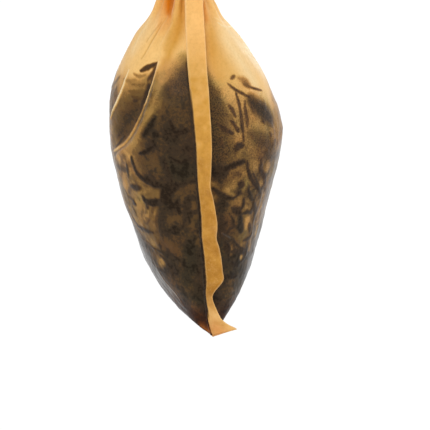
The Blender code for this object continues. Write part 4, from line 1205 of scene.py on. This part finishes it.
def grain_group():
    """Random grain over a piece, which every material uses at its own size: built once."""
    group = bpy.data.node_groups.get("grain")
    if group:
        return group
    group = bpy.data.node_groups.new("grain", "ShaderNodeTree")
    for name in ("Scale", "Detail", "Roughness"):
        group.interface.new_socket(name, in_out="INPUT", socket_type="NodeSocketFloat")
    group.interface.new_socket("Stretch", in_out="INPUT", socket_type="NodeSocketVector")
    group.interface.new_socket("Value", in_out="OUTPUT", socket_type="NodeSocketFloat")
    values = group.nodes.new("NodeGroupInput")
    place = group.nodes.new("ShaderNodeTexCoord")
    mapping = group.nodes.new("ShaderNodeMapping")
    texture = group.nodes.new("ShaderNodeTexNoise")
    result = group.nodes.new("NodeGroupOutput")
    group.links.new(place.outputs["Object"], mapping.inputs["Vector"])
    group.links.new(values.outputs["Stretch"], mapping.inputs["Scale"])
    group.links.new(mapping.outputs["Vector"], texture.inputs["Vector"])
    for name in ("Scale", "Detail", "Roughness"):
        group.links.new(values.outputs[name], texture.inputs[name])
    group.links.new(texture.outputs["Fac"], result.inputs["Value"])
    return group


class Nodes:
    """A material's node tree, written line by line."""

    def __init__(self, name):
        self.material = bpy.data.materials.new(name)
        self.material.use_nodes = True
        self.tree = self.material.node_tree
        self.shader = self.tree.nodes["Principled BSDF"]
        self.output = self.tree.nodes["Material Output"]

    def add(self, kind, **settings):
        node = self.tree.nodes.new(kind)
        for key, value in settings.items():
            setattr(node, key, value)
        return node

    def link(self, source, target):
        self.tree.links.new(source, target)

    def parts(self, name):
        """The three values of an attribute."""
        node = self.add("ShaderNodeAttribute", attribute_name=name)
        parts = self.add("ShaderNodeSeparateXYZ")
        self.link(node.outputs["Vector"], parts.inputs[0])
        return parts.outputs

    def swing(self, value, size):
        """A noise as a change up or down."""
        return self.math("MULTIPLY", self.math("SUBTRACT", value, 0.5), size)

    def grain(self, scale, detail=3.0, rough=0.55, stretch=(1.0, 1.0, 1.0)):
        """The grain group, with this material's own values."""
        node = self.add("ShaderNodeGroup", node_tree=grain_group())
        for name, value in (("Scale", scale), ("Detail", detail), ("Roughness", rough), ("Stretch", stretch)):
            node.inputs[name].default_value = value
        return node.outputs["Value"]

    def math(self, operation, a, b):
        node = self.add("ShaderNodeMath", operation=operation)
        for socket, value in zip(node.inputs, (a, b)):
            if isinstance(value, (int, float)):
                socket.default_value = value
            else:
                self.link(value, socket)
        return node.outputs[0]

    def ramp(self, value, stops, mode="EASE"):
        node = self.add("ShaderNodeValToRGB")
        node.color_ramp.interpolation = mode
        elements = node.color_ramp.elements
        while len(elements) < len(stops):
            elements.new(0.5)
        for element, (place, color) in zip(elements, stops):
            element.position = place
            element.color = (*color, 1.0)
        self.link(value, node.inputs["Fac"])
        return node.outputs["Color"]

    def mix(self, share, a, b, blend="MIX"):
        node = self.add("ShaderNodeMix", data_type="RGBA", blend_type=blend)
        for key, value in (("Factor", share), ("A", a), ("B", b)):
            socket = [s for s in node.inputs if s.name == key and s.enabled][0]
            if isinstance(value, tuple):
                socket.default_value = (*value, 1.0)
            elif isinstance(value, (int, float)):
                socket.default_value = value
            else:
                self.link(value, socket)
        return [s for s in node.outputs if s.enabled][0]


def paper_material():
    """Thin tea-stained filter paper, wet, with the tea behind it showing where it lies close, and painted
    shade, highlights and grey sheen.
    """
    n = Nodes("wet_filter_paper")
    tea, deep, highlight = n.parts("look")
    dust, sheen, orange_and_shade = n.parts("more")
    hue, dry, wet = n.parts("hue")
    fibre, specks, cloud = n.grain(1500, 4, 0.6), n.grain(3600, 2, 0.6), n.grain(220, 2, 0.5)
    # Plain paper by its layers and painted fold shade, then the orange of painted shade, then painted
    # highlights.
    plain = n.ramp(n.math("ADD", deep, n.swing(cloud, 0.2)), LAYER_AND_SHADE_TONES, "LINEAR")
    plain = n.mix(highlight, n.mix(orange_and_shade, plain, ORANGE_AND_SHADE_COLOUR), PAINTED_HIGHLIGHT)
    specks = n.ramp(specks, [(0.42, (0, 0, 0)), (0.66, (1, 1, 1))])
    dark = n.math("MULTIPLY", specks, n.math("MULTIPLY", dust, 0.32))
    tea = n.math("ADD", n.math("ADD", tea, dark), n.swing(fibre, 0.30))
    through = n.ramp(tea, TEA_TONES)
    rusty, greenish = n.math("SUBTRACT", hue, 1.0), n.math("MULTIPLY", hue, -1.0)
    for amount, tint in ((hue, RED), (rusty, RUST), (greenish, GREEN)):
        tinted = n.mix(1.0, through, tint, "MULTIPLY")
        through = n.mix(n.math("MAXIMUM", amount, 0.0), through, tinted)
    color = n.mix(n.ramp(tea, [(0.05, (0, 0, 0)), (0.38, (1, 1, 1))]), plain, through)
    threads = n.ramp(fibre, [(0.30, (0.93, 0.91, 0.87)), (0.60, (1.0, 1.0, 1.0))])
    color = n.mix(1.0, color, threads, "MULTIPLY")
    # Painted sheen: grey mixed into the colour as a painted reflection, broken up by noise.
    sheen_streaks = n.ramp(n.grain(420, 2, 0.5, (1, 1, 0.35)), [(0.36, (0.35, 0.35, 0.35)), (0.62, (1, 1, 1))])
    color = n.mix(n.math("MULTIPLY", sheen, sheen_streaks), color, PAINTED_SHEEN)
    bump = n.add("ShaderNodeBump")
    bump.inputs["Strength"].default_value = 0.35
    bump.inputs["Distance"].default_value = 0.00006
    n.link(fibre, bump.inputs["Height"])
    n.link(color, n.shader.inputs["Base Color"])
    n.link(bump.outputs[0], n.shader.inputs["Normal"])
    n.link(n.math("ADD", n.math("MULTIPLY", dry, 0.4), 0.33), n.shader.inputs["Roughness"])
    n.shader.inputs["Specular IOR Level"].default_value = 0.10
    n.link(wet, n.shader.inputs["Coat Weight"])
    n.shader.inputs["Coat Roughness"].default_value = 0.12
    n.shader.inputs["Sheen Weight"].default_value = 0.16
    n.shader.inputs["Sheen Roughness"].default_value = 0.35
    glow = n.add("ShaderNodeBsdfTranslucent")
    n.link(color, glow.inputs["Color"])
    both = n.add("ShaderNodeMixShader")
    both.inputs[0].default_value = 0.30
    n.link(n.shader.outputs[0], both.inputs[1])
    n.link(glow.outputs[0], both.inputs[2])
    n.link(both.outputs[0], n.output.inputs["Surface"])
    return n.material


def tea_material():
    n = Nodes("wet_tea")
    color = n.ramp(n.grain(500, 3), TEA_BITS)
    n.link(color, n.shader.inputs["Base Color"])
    n.shader.inputs["Roughness"].default_value = 0.45
    return n.material


def cotton_material():
    n = Nodes("cotton")
    color = n.ramp(n.grain(900, 3), COTTON)
    n.link(color, n.shader.inputs["Base Color"])
    n.shader.inputs["Roughness"].default_value = 0.9
    return n.material


def white_for_sight(tree, add, seen, lit):
    """Mixes a shader for what the camera and mirrors see with one that lights the object."""
    path = tree.nodes.new("ShaderNodeLightPath")
    best = tree.nodes.new("ShaderNodeMath")
    best.operation = "MAXIMUM"
    tree.links.new(path.outputs["Is Camera Ray"], best.inputs[0])
    tree.links.new(path.outputs["Is Glossy Ray"], best.inputs[1])
    more = tree.nodes.new("ShaderNodeMath")
    more.operation = "MAXIMUM"
    tree.links.new(best.outputs[0], more.inputs[0])
    tree.links.new(path.outputs["Is Transmission Ray"], more.inputs[1])
    share = tree.nodes.new("ShaderNodeMath")
    share.operation = "MULTIPLY"
    share.inputs[1].default_value = add
    tree.links.new(more.outputs[0], share.inputs[0])
    both = tree.nodes.new("ShaderNodeMixShader")
    tree.links.new(share.outputs[0], both.inputs[0])
    tree.links.new(lit, both.inputs[1])
    tree.links.new(seen, both.inputs[2])
    return both.outputs[0]


def studio():
    scene = bpy.context.scene
    scene.view_settings.view_transform = "Standard"
    world = bpy.data.worlds.new("studio")
    scene.world = world
    world.use_nodes = True
    tree = world.node_tree
    lit = tree.nodes["Background"]
    lit.inputs["Color"].default_value = SKY
    lit.inputs["Strength"].default_value = SKY_POWER
    seen = tree.nodes.new("ShaderNodeBackground")
    seen.inputs["Color"].default_value = (1, 1, 1, 1)
    both = white_for_sight(tree, 1.0, seen.outputs[0], lit.outputs[0])
    tree.links.new(both, tree.nodes["World Output"].inputs["Surface"])

    signs = [(-1, -1), (1, -1), (1, 1), (-1, 1)]
    corners = [(x * FLOOR_REACH, y * FLOOR_REACH, -FLOOR_DROP) for x, y in signs]
    floor = new_mesh("floor", corners, [[0, 1, 2, 3]], bpy.data.materials.new("pale_floor"))
    material = floor.data.materials[0]
    material.use_nodes = True
    tree = material.node_tree
    shader = tree.nodes["Principled BSDF"]
    shader.inputs["Base Color"].default_value = FLOOR
    shader.inputs["Roughness"].default_value = 0.9
    glow = tree.nodes.new("ShaderNodeEmission")
    both = white_for_sight(tree, 0.75, glow.outputs[0], shader.outputs[0])
    tree.links.new(both, tree.nodes["Material Output"].inputs["Surface"])

    for name, place, size, power in LAMPS:
        data = bpy.data.lights.new(name, "AREA")
        data.shape = "DISK"
        data.size = size
        data.energy = power
        lamp = bpy.data.objects.new(name, data)
        scene.collection.objects.link(lamp)
        lamp.location = place
        lamp.rotation_euler = (Vector(LAMP_AIM) - Vector(place)).to_track_quat("-Z", "Y").to_euler()


def camera():
    data = bpy.data.cameras.new("camera")
    data.sensor_width = VIEW_SENSOR
    data.lens = VIEW_SENSOR * VIEW_DISTANCE / (VIEW_PIXELS * VIEW_SCALE)
    data.clip_start = 0.01
    data.clip_end = 20.0
    obj = bpy.data.objects.new("camera", data)
    bpy.context.scene.collection.objects.link(obj)
    side, back = Vector(VIEW_RIGHT), Vector(VIEW_BACK)
    up = back.cross(side)
    place = (Vector(VIEW_TARGET) + VIEW_DISTANCE * back) * MM
    obj.matrix_world = Matrix.Translation(place) @ Matrix((side, up, back)).transposed().to_4x4()
    bpy.context.scene.camera = obj


def fold_depth_at(angle, depth):
    """How far in from the widest line round the bag a place lies."""
    return -pleat_depth(depth) * pleat_wave(angle, depth) + fine_folds(angle, depth)


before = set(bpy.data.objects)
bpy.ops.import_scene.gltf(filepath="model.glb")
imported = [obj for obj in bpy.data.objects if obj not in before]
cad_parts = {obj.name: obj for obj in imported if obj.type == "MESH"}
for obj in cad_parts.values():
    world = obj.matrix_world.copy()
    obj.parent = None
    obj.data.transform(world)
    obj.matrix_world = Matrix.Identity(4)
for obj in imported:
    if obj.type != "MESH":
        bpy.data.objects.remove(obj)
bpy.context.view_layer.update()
camera()
studio()

paper = paper_material()
tea = tea_material()
cotton = cotton_material()
leaves = scattered_leaves(np.random.default_rng(11), LEAF_COUNT)
pieces = []
for side, name in ((0, "paper_right"), (1, "paper_left")):
    panel = Panel(side)
    dress(panel, leaves)
    pieces.append(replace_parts(panel_object(panel, name, paper), "filter_paper"))
pieces.append(side_seal(0, "seal_near", paper))
pieces.append(side_seal(1, "seal_far", paper))
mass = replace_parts(tea_mass(tea), "tea_leaves")
bits = leaf_pieces(leaves, tea)
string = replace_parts(drawstring(cotton), "drawstring")
for piece in (*pieces, mass, bits, string):
    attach(piece, "root")
